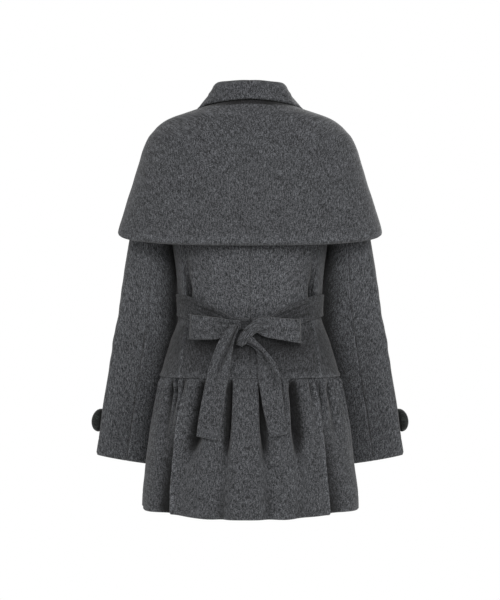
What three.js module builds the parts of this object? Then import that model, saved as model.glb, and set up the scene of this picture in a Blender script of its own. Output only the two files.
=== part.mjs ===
import * as THREE from 'three';

// A short wool coat with a shoulder cape, a belt tied behind and a gathered lower tier.
// Sizes are in millimetres, +Z is up, the front of the coat faces -Y and the wearer's left is +X.
// The origin lies midway between the shoulders, level with the side neck points.

// Cloth and clearances
const WOOL = 2.2;
const DOUBLE_WOOL = 3;
const SEAM = 0.3;

// Levels of the seams and edges
const HIP_SEAM_Z = -522;
const HEM_Z = -785;
const NECK_SIDE_Z = 2;
const NECK_BACK_RISE = 8;
const NECK_FRONT_DROP = 52;
const PANEL_JOIN_Z = -140;

// The fronts lap by this much past the centre line, and the upper one stands this far off the lower one
const LAP = 28;
const LAP_STEP = 3.2;
const LAP_END = 75;
const LAP_TURN = 50;

const COATING = new THREE.MeshStandardMaterial({ color: 0x4c4d4f, roughness: 0.95, metalness: 0 });
const BELTING = new THREE.MeshStandardMaterial({ color: 0x505153, roughness: 0.95, metalness: 0 });
const BUTTON = new THREE.MeshStandardMaterial({ color: 0x2b2d2d, roughness: 0.7, metalness: 0 });

const degrees = THREE.MathUtils.degToRad;
const mix = THREE.MathUtils.lerp;
const ease = THREE.MathUtils.smoothstep;

// Rounds in which a point that depends on its own height settles
const SETTLE_ROUNDS = 8;

// Distance from its own axis at which each kind of seam is parted by the full seam gap
const SEAM_RADIUS = { side: 150, sleeve: 28, tier: 110, cape: 70 };

const HALF_TURN = Math.PI;
const QUARTER_TURN = Math.PI / 2;

// Each row is one level section of the body: half width, depth behind and in front of the side line,
// and how square the oval is, where 2 is an ellipse.
const BODY = [
  { z: 12, side: 58, back: 57, front: 50, square: 2 },
  { z: 2, side: 65, back: 63, front: 54, square: 2 },
  { z: -3, side: 80, back: 66, front: 56, square: 2 },
  { z: -8, side: 98, back: 69, front: 58, square: 2 },
  { z: -14, side: 114, back: 73, front: 60, square: 2 },
  { z: -23, side: 137, back: 79, front: 64, square: 2.05 },
  { z: -35, side: 157, back: 86, front: 69, square: 2.1 },
  { z: -47, side: 169, back: 93, front: 75, square: 2.15 },
  { z: -60, side: 175, back: 99, front: 82, square: 2.2 },
  { z: -90, side: 177, back: 108, front: 98, square: 2.3 },
  { z: -120, side: 173, back: 115, front: 111, square: 2.35 },
  { z: -160, side: 164, back: 121, front: 123, square: 2.4 },
  { z: -185, side: 158, back: 123, front: 128, square: 2.4 },
  { z: -200, side: 154.3, back: 123, front: 129, square: 2.4 },
  { z: -225, side: 150.6, back: 122.5, front: 127, square: 2.4 },
  { z: -267, side: 150, back: 121, front: 122, square: 2.4 },
  { z: -316, side: 144, back: 117, front: 115, square: 2.4 },
  { z: -363, side: 140, back: 111, front: 109, square: 2.4 },
  { z: -410, side: 139.5, back: 110, front: 110, square: 2.4 },
  { z: -456, side: 156, back: 118, front: 116, square: 2.35 },
  { z: -522, side: 174, back: 130, front: 126, square: 2.3 },
];

// Level sections of the gathered tier, taken over its ridges
const TIER = [
  { z: -522, side: 174, back: 130, front: 126, square: 2.3 },
  { z: -532, side: 181, back: 136, front: 131, square: 2.25 },
  { z: -550, side: 185, back: 140, front: 135, square: 2.2 },
  { z: -569, side: 189, back: 143, front: 137, square: 2.2 },
  { z: -628, side: 199, back: 149, front: 141, square: 2.2 },
  { z: -702, side: 207, back: 153, front: 146, square: 2.2 },
  { z: -745, side: 212, back: 155, front: 149, square: 2.2 },
  { z: -785, side: 214, back: 156, front: 151, square: 2.2 },
];

// Level sections of the cape
const CAPE = [
  { z: 20, side: 62, back: 60, front: 56, square: 2 },
  { z: 10, side: 69, back: 70, front: 60, square: 2 },
  { z: 4, side: 88, back: 76, front: 64, square: 2 },
  { z: -2, side: 105, back: 80, front: 68, square: 2 },
  { z: -12, side: 134, back: 88, front: 75, square: 2 },
  { z: -23, side: 161, back: 96, front: 82, square: 2.05 },
  { z: -35, side: 178, back: 103, front: 90, square: 2.1 },
  { z: -47, side: 189, back: 109, front: 98, square: 2.2 },
  { z: -58, side: 198, back: 114, front: 105, square: 2.25 },
  { z: -82, side: 209, back: 121, front: 117, square: 2.3 },
  { z: -105, side: 216, back: 127, front: 127, square: 2.4 },
  { z: -129, side: 224, back: 131, front: 134, square: 2.45 },
  { z: -152, side: 231, back: 134, front: 141, square: 2.5 },
  { z: -175, side: 239, back: 136, front: 145, square: 2.5 },
  { z: -199, side: 246, back: 138, front: 147, square: 2.5 },
  { z: -222, side: 252.5, back: 140, front: 149, square: 2.5 },
  { z: -240, side: 256.5, back: 141, front: 150, square: 2.5 },
  { z: -275, side: 262, back: 143, front: 151, square: 2.5 },
];

// Height of the cape's hem round the body, from the centre back (0) to the centre front (180)
const CAPE_HEM = [
  { turn: 0, z: -271 },
  { turn: 45, z: -266 },
  { turn: 65, z: -256 },
  { turn: 80, z: -245 },
  { turn: 92, z: -239 },
  { turn: 120, z: -236 },
  { turn: 180, z: -240 },
];

// Half the opening between the cape's front edges
const CAPE_OPENING = [
  { z: 0, half: 3 },
  { z: -43, half: 3 },
  { z: -120, half: 15 },
  { z: -240, half: 34 },
];

// The armhole is cut along a leaning plane, whose distance from the centre is given at two heights
const ARMHOLE_PLANE = [
  { z: -44, x: 168 },
  { z: -200, x: 154 },
];

// The seam between the back and side panels, and the same seam in front, as a turn from the centre line
const SIDE_SEAM = [
  { z: -200, turn: 66 },
  { z: -260, turn: 62.5 },
  { z: -340, turn: 61 },
  { z: -416, turn: 60 },
  { z: -522, turn: 55.5 },
];

// Heights at which neighbouring panels share their seam points
const PANEL_LEVELS = [2, -9, -22, -36, -52, -78, -108, -140, -170, -200,
  -235, -275, -316, -363, -385, -408, -460, HIP_SEAM_Z];

// Sections of a sleeve from the shoulder down. Each is an oval from its outer point to its inner point.
// lean carries the outer point backwards and the inner one forwards, and depth is half its front-to-back size.
const SLEEVE = [
  { row: 0, outX: 168, outZ: -44, inX: 154, inZ: -200, y: 0, lean: 0, depth: 56 },
  { row: 1, outX: 182, outZ: -56, inX: 155.2, inZ: -208, y: 0, lean: 0, depth: 60 },
  { row: 2, outX: 195, outZ: -84, inX: 155.8, inZ: -217, y: -1, lean: 2, depth: 64 },
  { row: 3, outX: 207, outZ: -128, inX: 155.5, inZ: -229, y: -3, lean: 6, depth: 67 },
  { row: 4, outX: 219, outZ: -180, inX: 154, inZ: -245, y: -7, lean: 12, depth: 67 },
  { row: 5, outX: 229, outZ: -228, inX: 151.5, inZ: -268, y: -12, lean: 18, depth: 65 },
  { row: 6, outX: 239, outZ: -290, inX: 144, inZ: -308, y: -18, lean: 24, depth: 62 },
  { row: 7, outX: 249, outZ: -348, inX: 139.5, inZ: -360, y: -25, lean: 30, depth: 58 },
  { row: 8, outX: 259.5, outZ: -410, inX: 141, inZ: -420, y: -33, lean: 35, depth: 54 },
  { row: 9, outX: 270.5, outZ: -475, inX: 151, inZ: -486, y: -45, lean: 38, depth: 49 },
  { row: 10, outX: 282, outZ: -545, inX: 164, inZ: -558, y: -58, lean: 38, depth: 44 },
  { row: 11, outX: 293, outZ: -612, inX: 175, inZ: -628, y: -70, lean: 37, depth: 40 },
  { row: 12, outX: 303, outZ: -676, inX: 186, inZ: -699, y: -80, lean: 35, depth: 37 },
];
const SLEEVE_ROWS = [0, 0.5, 1, 2, 3, 4, 5, 6, 7, 8, 9, 10, 11, 12];
const SLEEVE_HEAD_ROWS = 1.6;
const SLEEVE_BACK_SEAM = degrees(92);
const SLEEVE_FRONT_SEAM = degrees(-110);

// Soft folds of the tier: the turn from the centre back at mid height and at the hem, and the depth
const TIER_FOLDS = [
  { turn: 39, hemTurn: 32, depth: 13 },
  { turn: 17.5, hemTurn: 21.5, depth: 11 },
  { turn: -11.5, hemTurn: -13.5, depth: 12 },
  { turn: -34, hemTurn: -32, depth: 13 },
  { turn: 61, hemTurn: 59.5, depth: 8 },
  { turn: -62, hemTurn: -62.5, depth: 7 },
  { turn: 90, hemTurn: 87, depth: 9 },
  { turn: -93, hemTurn: -90, depth: 9 },
  { turn: 113, hemTurn: 115, depth: 11 },
  { turn: -116, hemTurn: -113, depth: 10 },
  { turn: 137, hemTurn: 134, depth: 12 },
  { turn: -140, hemTurn: -139, depth: 12 },
  { turn: 157, hemTurn: 156, depth: 10 },
  { turn: -155, hemTurn: -158, depth: 9 },
];
const FOLD_HALF_WIDTH = degrees(7.5);

// The folds drift from their first turn to the one at the hem below this height
const FOLD_DRIFT_Z = -600;

// How strong the folds and the gathers are down the tier
const TIER_FADE = [
  { z: -522, fold: 0, gather: 1.2 },
  { z: -532, fold: 0.35, gather: 3 },
  { z: -550, fold: 0.8, gather: 2.2 },
  { z: -575, fold: 1, gather: 0 },
  { z: -640, fold: 1, gather: 0 },
  { z: -725, fold: 0.5, gather: 0 },
  { z: -785, fold: 0.4, gather: 0 },
];
const TIER_LEVELS = [HIP_SEAM_Z - SEAM, -531, -546, -576, -620, -675, -730, HEM_Z];
const GATHERS = 60;

// The tier lies flat where its fronts lap
const FLAT_FRONT = degrees(13);

// The collar round the neck: how high it stands, where its outer edge lies, and how far it is off the cape
const COLLAR = [
  { turn: 0, stand: 40, edgeZ: 6, lift: 6 },
  { turn: 45, stand: 40, edgeZ: 5, lift: 6 },
  { turn: 90, stand: 39, edgeZ: 3, lift: 5 },
  { turn: 115, stand: 35, edgeZ: -14, lift: 4.5 },
  { turn: 135, stand: 30, edgeZ: -45, lift: 4.5 },
  { turn: 155, stand: 26, edgeZ: -80, lift: 4.5 },
  { turn: 168, stand: 24, edgeZ: -90, lift: 4.5 },
  { turn: 176, stand: 23, edgeZ: -76, lift: 4.5 },
];
const COLLAR_LAST_TURN = 176;
const COLLAR_END = degrees(COLLAR_LAST_TURN);
const COLLAR_OFF = 0.8;

// The collar's section as it rises: distance out from the neck seam, and its share of the stand's height
const COLLAR_RISE = [
  { out: 0, share: 0 },
  { out: 0.5, share: 0.5 },
  { out: 2.5, share: 0.9 },
  { out: 8.5, share: 1 },
];

// Where the roll turns down, and how far the falling part swells out half way
const ROLL_OUT = 16;
const ROLL_DROP = 6;
const FALL_SWELL = 1.5;

// A belt strap, from beside the knot round to the front side seam
const STRAP = [
  { turn: 1, top: -408, bottom: -431 },
  { turn: 16, top: -407, bottom: -430 },
  { turn: 29, top: -393, bottom: -427 },
  { turn: 42, top: -380, bottom: -421 },
  { turn: 61, top: -365, bottom: -410 },
  { turn: 90, top: -363, bottom: -405 },
  { turn: 118, top: -363, bottom: -404 },
];
const STRAP_OFF = 1.7;

// The knot: a bunched wrap whose lower end leans to the wearer's left
const KNOT = { x: 9, z: -435, off: 3.85, halfWidth: 11.5, halfHeight: 24, halfDepth: 9.4, lean: degrees(22) };

// Bow loops and tails lie over the back. Half of the body's curve is left to them, since they are stiff.
const LOOP_OFF = 7.4;
const LOOP_FOLLOW = 0.62;
const LOOP_SWELL = 6;
const LOOP_FOLD_SHARPNESS = 1.6;
const LOOP_SWELL_PLACE = 0.7;
const LOOP_FOLD_PART = 0.14;
const LOOP_LEFT = [
  { x: 17.5, top: -413, bottom: -428 },
  { x: 38, top: -411, bottom: -438 },
  { x: 62, top: -407, bottom: -447 },
  { x: 115, top: -401, bottom: -448 },
];
const LOOP_RIGHT = [
  { x: 4.2, top: -414, bottom: -430 },
  { x: 26, top: -406, bottom: -442 },
  { x: 60, top: -408, bottom: -449 },
  { x: 97, top: -411, bottom: -455 },
];
const TAIL_OFF = 4.2;
const TAIL_LEFT = [
  { row: 0, outX: 40, outZ: -434, inX: 27, inZ: -440 },
  { row: 1, outX: 56, outZ: -446, inX: 31, inZ: -455 },
  { row: 2, outX: 73, outZ: -478, inX: 36, inZ: -482 },
  { row: 3, outX: 81, outZ: -519, inX: 42, inZ: -523 },
  { row: 4, outX: 92, outZ: -570, inX: 49, inZ: -576 },
  { row: 5, outX: 101, outZ: -631, inX: 59, inZ: -639 },
];
const TAIL_RIGHT = [
  { row: 0, outX: 9, outZ: -446, inX: -1, inZ: -449 },
  { row: 1, outX: 28, outZ: -464, inX: 4, inZ: -468 },
  { row: 2, outX: 46, outZ: -488, inX: 12, inZ: -490 },
  { row: 3, outX: 57, outZ: -524, inX: 16, inZ: -526 },
  { row: 4, outX: 63, outZ: -560, inX: 23, inZ: -562 },
  { row: 5, outX: 70, outZ: -626, inX: 36, inZ: -631 },
];

// Dome buttons
const CUFF_BUTTON = { radius: 23, height: 19, row: 11, angle: degrees(-12) };
const BUTTON_OFF = 0.8;
const FRONT_BUTTON = { radius: 14, height: 9, levels: [-124, -213, -302, -391, -480] };

// One column of a table as a smooth curve through its rows
function read(table, column, at, by = 'z') {
  const last = table.length - 1;
  const sense = Math.sign(table[last][by] - table[0][by]);
  let i = 0;
  while (i < last - 1 && (at - table[i + 1][by]) * sense > 0) {
    i += 1;
  }
  const slope = (k) => {
    const before = table[Math.max(k - 1, 0)];
    const after = table[Math.min(k + 1, last)];
    return (after[column] - before[column]) / (after[by] - before[by]);
  };
  const from = table[i];
  const to = table[i + 1];
  const step = to[by] - from[by];
  const t = THREE.MathUtils.clamp((at - from[by]) / step, 0, 1);
  const rise = t * t * (3 - 2 * t);
  const leave = t * (1 - t) * (1 - t) * step * slope(i);
  const arrive = t * t * (1 - t) * step * slope(i + 1);
  return mix(from[column], to[column], rise) + leave - arrive;
}

// Distance of an oval section's edge from its centre, at an angle from the centre back towards +X
function reach(table, z, angle) {
  const depth = read(table, Math.cos(angle) > 0 ? 'back' : 'front', z);
  const square = read(table, 'square', z);
  const across = Math.abs(Math.sin(angle)) / read(table, 'side', z);
  const along = Math.abs(Math.cos(angle)) / depth;
  return (across ** square + along ** square) ** (-1 / square);
}

function around(table, z, angle, out = 0) {
  const radius = reach(table, z, angle) + out;
  return new THREE.Vector3(radius * Math.sin(angle), radius * Math.cos(angle), z);
}

// The way a table's surface faces at a place on it
function facing(table, place) {
  const angle = Math.atan2(place.x, place.y);
  const turn = 0.01;
  const drop = 1;
  const across = around(table, place.z, angle + turn).sub(around(table, place.z, angle - turn));
  const down = around(table, place.z - drop, angle).sub(around(table, place.z + drop, angle));
  return across.cross(down).normalize();
}

// Distance from the side line to a section's edge, at a distance x from the centre line
function depthAt(table, z, x, face) {
  const square = read(table, 'square', z);
  const part = Math.min(Math.abs(x) / read(table, 'side', z), 1);
  return read(table, face, z) * (1 - part ** square) ** (1 / square);
}

const neckZ = (angle) => {
  const turn = Math.cos(angle);
  const change = turn > 0 ? NECK_BACK_RISE : -NECK_FRONT_DROP;
  return NECK_SIDE_Z + change * turn * turn;
};

// The armhole
const armholeX = (z) => {
  const [top, bottom] = ARMHOLE_PLANE;
  return mix(top.x, bottom.x, (z - top.z) / (bottom.z - top.z));
};

// Height between two levels at which a value changes sign
function crossing(value, from, to) {
  let low = from;
  let high = to;
  for (let i = 0; i < 40; i += 1) {
    const middle = (low + high) / 2;
    if (Math.sign(value(middle)) === Math.sign(value(low))) {
      low = middle;
    } else {
      high = middle;
    }
  }
  return (low + high) / 2;
}

const beyondPlane = (z) => read(BODY, 'side', z) - armholeX(z);
const ARMHOLE_TOP = crossing(beyondPlane, -20, -70);
const ARMHOLE_BOTTOM = crossing(beyondPlane, -150, -212);
const armholeTurn = (z, face) => Math.atan2(armholeX(z), depthAt(BODY, z, armholeX(z), face));

function sideSeamTurn(z, face) {
  const start = armholeTurn(PANEL_JOIN_Z, face);
  const set = read(SIDE_SEAM, 'turn', z);
  const settled = ease(PANEL_JOIN_Z - z, 0, PANEL_JOIN_Z - SIDE_SEAM[0].z);
  return mix(start, degrees(set), settled);
}

// Where a back or front panel ends, as an angle from its own centre line
function panelEnd(z, face) {
  if (z >= ARMHOLE_TOP) {
    return QUARTER_TURN;
  }
  return z > PANEL_JOIN_Z ? armholeTurn(z, face) : sideSeamTurn(z, face);
}

// A wall of cloth: a grid of points on its outer face, the same grid moved in, and closed edges.
// normalAt gives the way the cloth faces where the grid itself can't, and settle may correct an inner point,
// such as one on an edge that meets another piece.
function wall({ point, columns, rows, thickness = WOOL, mirrored = false, normalAt, settle }) {
  const nudge = 1e-4;
  const outer = [];
  const inner = [];
  for (const v of rows) {
    for (const u of columns) {
      const here = point(u, v);
      const across = point(Math.min(u + nudge, 1), v).sub(point(Math.max(u - nudge, 0), v));
      const down = point(u, Math.min(v + nudge, 1)).sub(point(u, Math.max(v - nudge, 0)));
      const normal = normalAt ? normalAt(here) : across.cross(down).normalize();
      const inside = here.clone().addScaledVector(normal, -thickness);
      if (settle) {
        settle(inside, here, u, v);
      }
      outer.push(here);
      inner.push(inside);
    }
  }
  const wide = columns.length;
  const tall = rows.length;
  const count = wide * tall;
  const faces = [];
  const quad = (a, b, c, d) => faces.push(a, b, c, a, c, d);
  const at = (i, j) => j * wide + i;
  for (let j = 0; j < tall - 1; j += 1) {
    for (let i = 0; i < wide - 1; i += 1) {
      const corners = [at(i, j), at(i, j + 1), at(i + 1, j + 1), at(i + 1, j)];
      quad(...corners);
      quad(...corners.reverse().map((k) => k + count));
    }
  }
  for (let i = 0; i < wide - 1; i += 1) {
    quad(at(i, 0), at(i + 1, 0), at(i + 1, 0) + count, at(i, 0) + count);
    quad(at(i + 1, tall - 1), at(i, tall - 1), at(i, tall - 1) + count, at(i + 1, tall - 1) + count);
  }
  for (let j = 0; j < tall - 1; j += 1) {
    quad(at(0, j + 1), at(0, j), at(0, j) + count, at(0, j + 1) + count);
    quad(at(wide - 1, j), at(wide - 1, j + 1), at(wide - 1, j + 1) + count, at(wide - 1, j) + count);
  }
  return solidFrom([...outer, ...inner], faces, mirrored);
}

// A geometry from points and faces, turned so that its faces point out
function solidFrom(points, faces, mirrored) {
  const placed = points.map((p) => new THREE.Vector3(mirrored ? -p.x : p.x, p.y, p.z));
  let volume = 0;
  for (let i = 0; i < faces.length; i += 3) {
    const [a, b, c] = faces.slice(i, i + 3).map((k) => placed[k]);
    volume += a.dot(b.clone().cross(c));
  }
  const order = volume < 0 ? faces.slice().reverse() : faces;
  const geometry = new THREE.BufferGeometry();
  geometry.setAttribute('position', new THREE.Float32BufferAttribute(placed.flatMap((p) => [p.x, p.y, p.z]), 3));
  geometry.setIndex(order);
  geometry.computeVertexNormals();
  return geometry;
}

// Even steps from 0 to 1
const steps = (count) => Array.from({ length: count + 1 }, (_, i) => i / count);

// The given levels as steps from 0 to 1
const levelSteps = (levels) => {
  const last = levels[levels.length - 1];
  return levels.map((z) => (z - levels[0]) / (last - levels[0]));
};

const coat = new THREE.Group();
coat.name = 'coat';

function addPiece(name, geometry, material = COATING) {
  const piece = new THREE.Mesh(geometry, material);
  piece.name = name;
  coat.add(piece);
  return piece;
}

// Extra distance of the upper front at the lap
const lapOut = (x) => LAP_STEP * (1 - ease(Math.abs(x), LAP + 2, LAP_END));

// A back or front panel. Its angle is measured from its own centre line, and a front runs past it by the lap.
function panel({ face, past, upper }) {
  const bottom = HIP_SEAM_Z;
  const startTurn = (z) => {
    const depth = read(BODY, face, z);
    return face === 'front' ? -Math.atan2(past, depth) : SEAM / 2 / depth;
  };
  const turnAt = (u, z) => mix(startTurn(z), panelEnd(z, face) - SEAM / 2 / reach(BODY, z, QUARTER_TURN), u);
  const fromBack = (turn) => (face === 'front' ? HALF_TURN - turn : turn);
  return (u, v) => {
    let top = NECK_SIDE_Z;
    for (let i = 0; i < SETTLE_ROUNDS; i += 1) {
      top = neckZ(fromBack(turnAt(u, top)));
    }
    const z = mix(top, bottom, v);
    const turn = turnAt(u, z);
    const angle = fromBack(turn);
    const place = around(BODY, z, angle);
    const out = upper ? lapOut(place.x) * (turn < degrees(LAP_TURN) ? 1 : 0) : 0;
    return around(BODY, z, angle, out);
  };
}

const keepLevel = (inside, here, u, v) => {
  if (v === 1) {
    inside.z = here.z;
  }
};

// The side panel hangs from the lower part of the armhole
function sidePanel() {
  const bottom = HIP_SEAM_Z;
  const half = SEAM / 2 / SEAM_RADIUS.side;
  const angleAcross = (u, z) => {
    const back = sideSeamTurn(z, 'back') + half;
    const front = HALF_TURN - sideSeamTurn(z, 'front') - half;
    return u < 0.5 ? mix(back, QUARTER_TURN, 2 * u) : mix(QUARTER_TURN, front, 2 * u - 1);
  };
  const topOf = (u) => {
    if (u === 0 || u === 1) {
      return PANEL_JOIN_Z;
    }
    const rim = (z) => (u < 0.5 ? armholeTurn(z, 'back') : HALF_TURN - armholeTurn(z, 'front'));
    const inHole = (z) => (u < 0.5 ? angleAcross(u, z) - rim(z) : rim(z) - angleAcross(u, z));
    return crossing(inHole, PANEL_JOIN_Z, ARMHOLE_BOTTOM);
  };
  return (u, v) => {
    const z = mix(topOf(u), bottom, v);
    return around(BODY, z, angleAcross(u, z));
  };
}

// The sleeve, as an angle round its section and a row of its table
function sleevePoint(angle, row) {
  const get = (column) => read(SLEEVE, column, row, 'row');
  const top = { x: armholeX(ARMHOLE_TOP), z: ARMHOLE_TOP };
  const low = { x: armholeX(ARMHOLE_BOTTOM), z: ARMHOLE_BOTTOM };
  const start = 1 - ease(row, 0, 1);
  const outX = mix(get('outX'), top.x, start) + SEAM;
  const outZ = mix(get('outZ'), top.z, start);
  const inX = mix(get('inX'), low.x, start) + SEAM;
  const inZ = mix(get('inZ'), low.z, start);
  const away = Math.cos(angle);
  const part = (1 + away) / 2;
  const z = mix(inZ, outZ, part);
  const x = mix(inX, outX, part);
  const oval = get('y') + get('lean') * away + get('depth') * Math.sin(angle);
  const rimZ = mix(low.z, top.z, part);
  const face = Math.sin(angle) > 0 ? 'back' : 'front';
  const rim = Math.sign(Math.sin(angle)) * depthAt(BODY, rimZ, armholeX(rimZ), face);
  return new THREE.Vector3(x, mix(rim, oval, ease(row, 0, SLEEVE_HEAD_ROWS)), z);
}

function sleevePart(fromAngle, toAngle) {
  const gap = SEAM / 2 / SEAM_RADIUS.sleeve;
  const last = SLEEVE_ROWS[SLEEVE_ROWS.length - 1];
  return (u, v) => sleevePoint(mix(toAngle - gap, fromAngle + gap, u), v * last);
}

const settleAtArmhole = (inside, here, u, v) => {
  if (v === 0) {
    inside.x = armholeX(inside.z) + SEAM;
  }
};

// The tier: its section, drawn in by the folds and the gathers
function tierDrawnIn(angle, z) {
  const down = ease(-z, -FOLD_DRIFT_Z, -HEM_Z);
  const wrapped = (turn) => Math.atan2(Math.sin(angle - turn), Math.cos(angle - turn));
  let drawn = 0;
  for (const fold of TIER_FOLDS) {
    const away = wrapped(degrees(mix(fold.turn, fold.hemTurn, down))) / FOLD_HALF_WIDTH;
    drawn += fold.depth * Math.exp(-away * away) * read(TIER_FADE, 'fold', z);
  }
  const gather = (1 - Math.cos(angle * GATHERS)) / 2;
  drawn += gather * Math.max(read(TIER_FADE, 'gather', z), 0);
  return drawn * ease(HALF_TURN - Math.abs(wrapped(0)), FLAT_FRONT, 2 * FLAT_FRONT);
}

function tierPart(fromAngle, toAngle, upper) {
  return (u, v) => {
    const angle = mix(fromAngle, toAngle, u);
    const z = mix(TIER_LEVELS[0], HEM_Z, v);
    const base = around(TIER, z, angle);
    const out = upper && base.y < 0 ? lapOut(base.x) : 0;
    return around(TIER, z, angle, out - tierDrawnIn(angle, z));
  };
}

const keepLevelBoth = (inside, here, u, v) => {
  if (v === 0 || v === 1) {
    inside.z = here.z;
  }
};

// The neck edge of the cape lies just outside the collar's stand
const neckReach = (angle) => reach(BODY, neckZ(angle), angle);
const CAPE_NECK_RISE = 7;
const CAPE_SHOULDER_PART = 0.1;

function capePart(fromAngle, toAngle, openFront) {
  const frontEdge = (z) => {
    const half = read(CAPE_OPENING, 'half', z);
    return HALF_TURN - Math.atan2(half, depthAt(CAPE, z, half, 'front'));
  };
  return (u, v) => {
    let angle = mix(fromAngle, toAngle, u);
    let z = 0;
    for (let i = 0; i < SETTLE_ROUNDS; i += 1) {
      const turn = Math.abs(THREE.MathUtils.radToDeg(angle));
      z = mix(neckZ(angle) + CAPE_NECK_RISE, read(CAPE_HEM, 'z', turn, 'turn'), v);
      angle = openFront ? mix(fromAngle, frontEdge(z), u) : angle;
    }
    if (v >= CAPE_SHOULDER_PART) {
      return around(CAPE, z, angle);
    }
    const hem = read(CAPE_HEM, 'z', Math.abs(THREE.MathUtils.radToDeg(angle)), 'turn');
    const shoulderZ = mix(neckZ(angle) + CAPE_NECK_RISE, hem, CAPE_SHOULDER_PART);
    const nearRadius = neckReach(angle) + 3 * SEAM + WOOL;
    const farRadius = reach(CAPE, shoulderZ, angle);
    const radius = mix(nearRadius, farRadius, v / CAPE_SHOULDER_PART);
    return new THREE.Vector3(radius * Math.sin(angle), radius * Math.cos(angle), z);
  };
}

// The collar: up from the neck seam, over the roll and down to its edge above the cape
function collarSection(angle) {
  const turn = Math.min(Math.abs(THREE.MathUtils.radToDeg(angle)), COLLAR_LAST_TURN);
  const get = (column) => read(COLLAR, column, turn, 'turn');
  const near = neckReach(angle) - WOOL;
  const foot = neckZ(angle) + COLLAR_OFF;
  const stand = get('stand');
  const edge = { r: reach(CAPE, get('edgeZ'), angle) + get('lift'), z: get('edgeZ') };
  const roll = { r: near + ROLL_OUT, z: foot + stand - ROLL_DROP };
  const rise = COLLAR_RISE.map(({ out, share }) => ({ r: near + out, z: foot + stand * share }));
  const fall = { r: mix(roll.r, edge.r, 0.5) + FALL_SWELL, z: mix(roll.z, edge.z, 0.5) };
  const profile = [...rise, roll, fall, edge];
  return new THREE.CatmullRomCurve3(profile.map((p) => new THREE.Vector3(p.r, 0, p.z)), false, 'centripetal');
}

function collarPoint(u, v) {
  const angle = mix(-COLLAR_END, COLLAR_END, u);
  const place = collarSection(angle).getPoint(v);
  return new THREE.Vector3(place.x * Math.sin(angle), place.x * Math.cos(angle), place.z);
}

// A strap of the belt on the body, from the knot to the front side seam
function strapPoint(u, v) {
  const turn = mix(STRAP[0].turn, STRAP[STRAP.length - 1].turn, u);
  const z = mix(read(STRAP, 'top', turn, 'turn'), read(STRAP, 'bottom', turn, 'turn'), v);
  return around(BODY, z, degrees(turn), STRAP_OFF + DOUBLE_WOOL);
}

// Back surface of the coat under the bow. It passes from the bodice to the tier about the hip seam.
const OVER_BODICE_Z = -505;
const OVER_TIER_Z = -540;
function backSurface(x, z) {
  const overTier = ease(-z, -OVER_BODICE_Z, -OVER_TIER_Z);
  return mix(depthAt(BODY, z, x, 'back'), depthAt(TIER, z, x, 'back'), overTier);
}

// A bow loop: out along its top layer, round the fold and back beneath
function bowLoop(table) {
  const start = table[0].x;
  const end = table[table.length - 1].x;
  return (u, v) => {
    const along = 2 * u - 1;
    const part = Math.abs(along);
    const x = end - (end - start) * part ** LOOP_FOLD_SHARPNESS;
    const z = mix(read(table, 'top', x, 'x'), read(table, 'bottom', x, 'x'), v);
    const parted = WOOL + 1 + LOOP_SWELL * 2 * Math.sin(HALF_TURN * part ** LOOP_SWELL_PLACE);
    const out = along > 0 ? 0 : parted * ease(part, 0, LOOP_FOLD_PART);
    return new THREE.Vector3(x, backSurface(x * LOOP_FOLLOW, z) + LOOP_OFF + out, z);
  };
}

function bowTail(table) {
  const last = table.length - 1;
  return (u, v) => {
    const get = (column) => read(table, column, v * last, 'row');
    const x = mix(get('inX'), get('outX'), u);
    const z = mix(get('inZ'), get('outZ'), u);
    return new THREE.Vector3(x, backSurface(x, z) + TAIL_OFF, z);
  };
}

// A domed button with a flat back, its axis along +Y
function domeButton({ radius, height }) {
  const profile = [[0, 0], [0.92, 0], [1, 0.2], [0.9, 0.58], [0.55, 0.9], [0, 1]];
  const points = profile.map(([r, h]) => new THREE.Vector2(r * radius, h * height));
  return new THREE.LatheGeometry(points, 14);
}

// Body panels
const panelRows = levelSteps(PANEL_LEVELS);
const joinRows = levelSteps(PANEL_LEVELS.filter((z) => z <= PANEL_JOIN_Z));
const normalAt = (place) => facing(BODY, place);
for (const [side, mirrored] of [['left', false], ['right', true]]) {
  const shared = { mirrored, normalAt, settle: keepLevel };
  const back = panel({ face: 'back', past: 0, upper: false });
  const front = panel({ face: 'front', past: LAP, upper: mirrored });
  addPiece(`back_panel_${side}`, wall({ point: back, columns: steps(8), rows: panelRows, ...shared }));
  addPiece(`front_panel_${side}`, wall({ point: front, columns: steps(10), rows: panelRows, ...shared }));
  addPiece(`side_panel_${side}`, wall({ point: sidePanel(), columns: steps(6), rows: joinRows, ...shared }));
}

// Sleeves
const sleeveRows = SLEEVE_ROWS.map((row) => row / SLEEVE_ROWS[SLEEVE_ROWS.length - 1]);
for (const [side, mirrored] of [['left', false], ['right', true]]) {
  const top = sleevePart(SLEEVE_FRONT_SEAM, SLEEVE_BACK_SEAM);
  const under = sleevePart(SLEEVE_BACK_SEAM, 2 * HALF_TURN + SLEEVE_FRONT_SEAM);
  const settle = settleAtArmhole;
  addPiece(`sleeve_top_${side}`, wall({ point: top, columns: steps(10), rows: sleeveRows, mirrored, settle }));
  addPiece(`sleeve_under_${side}`, wall({ point: under, columns: steps(8), rows: sleeveRows, mirrored, settle }));
}

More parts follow.
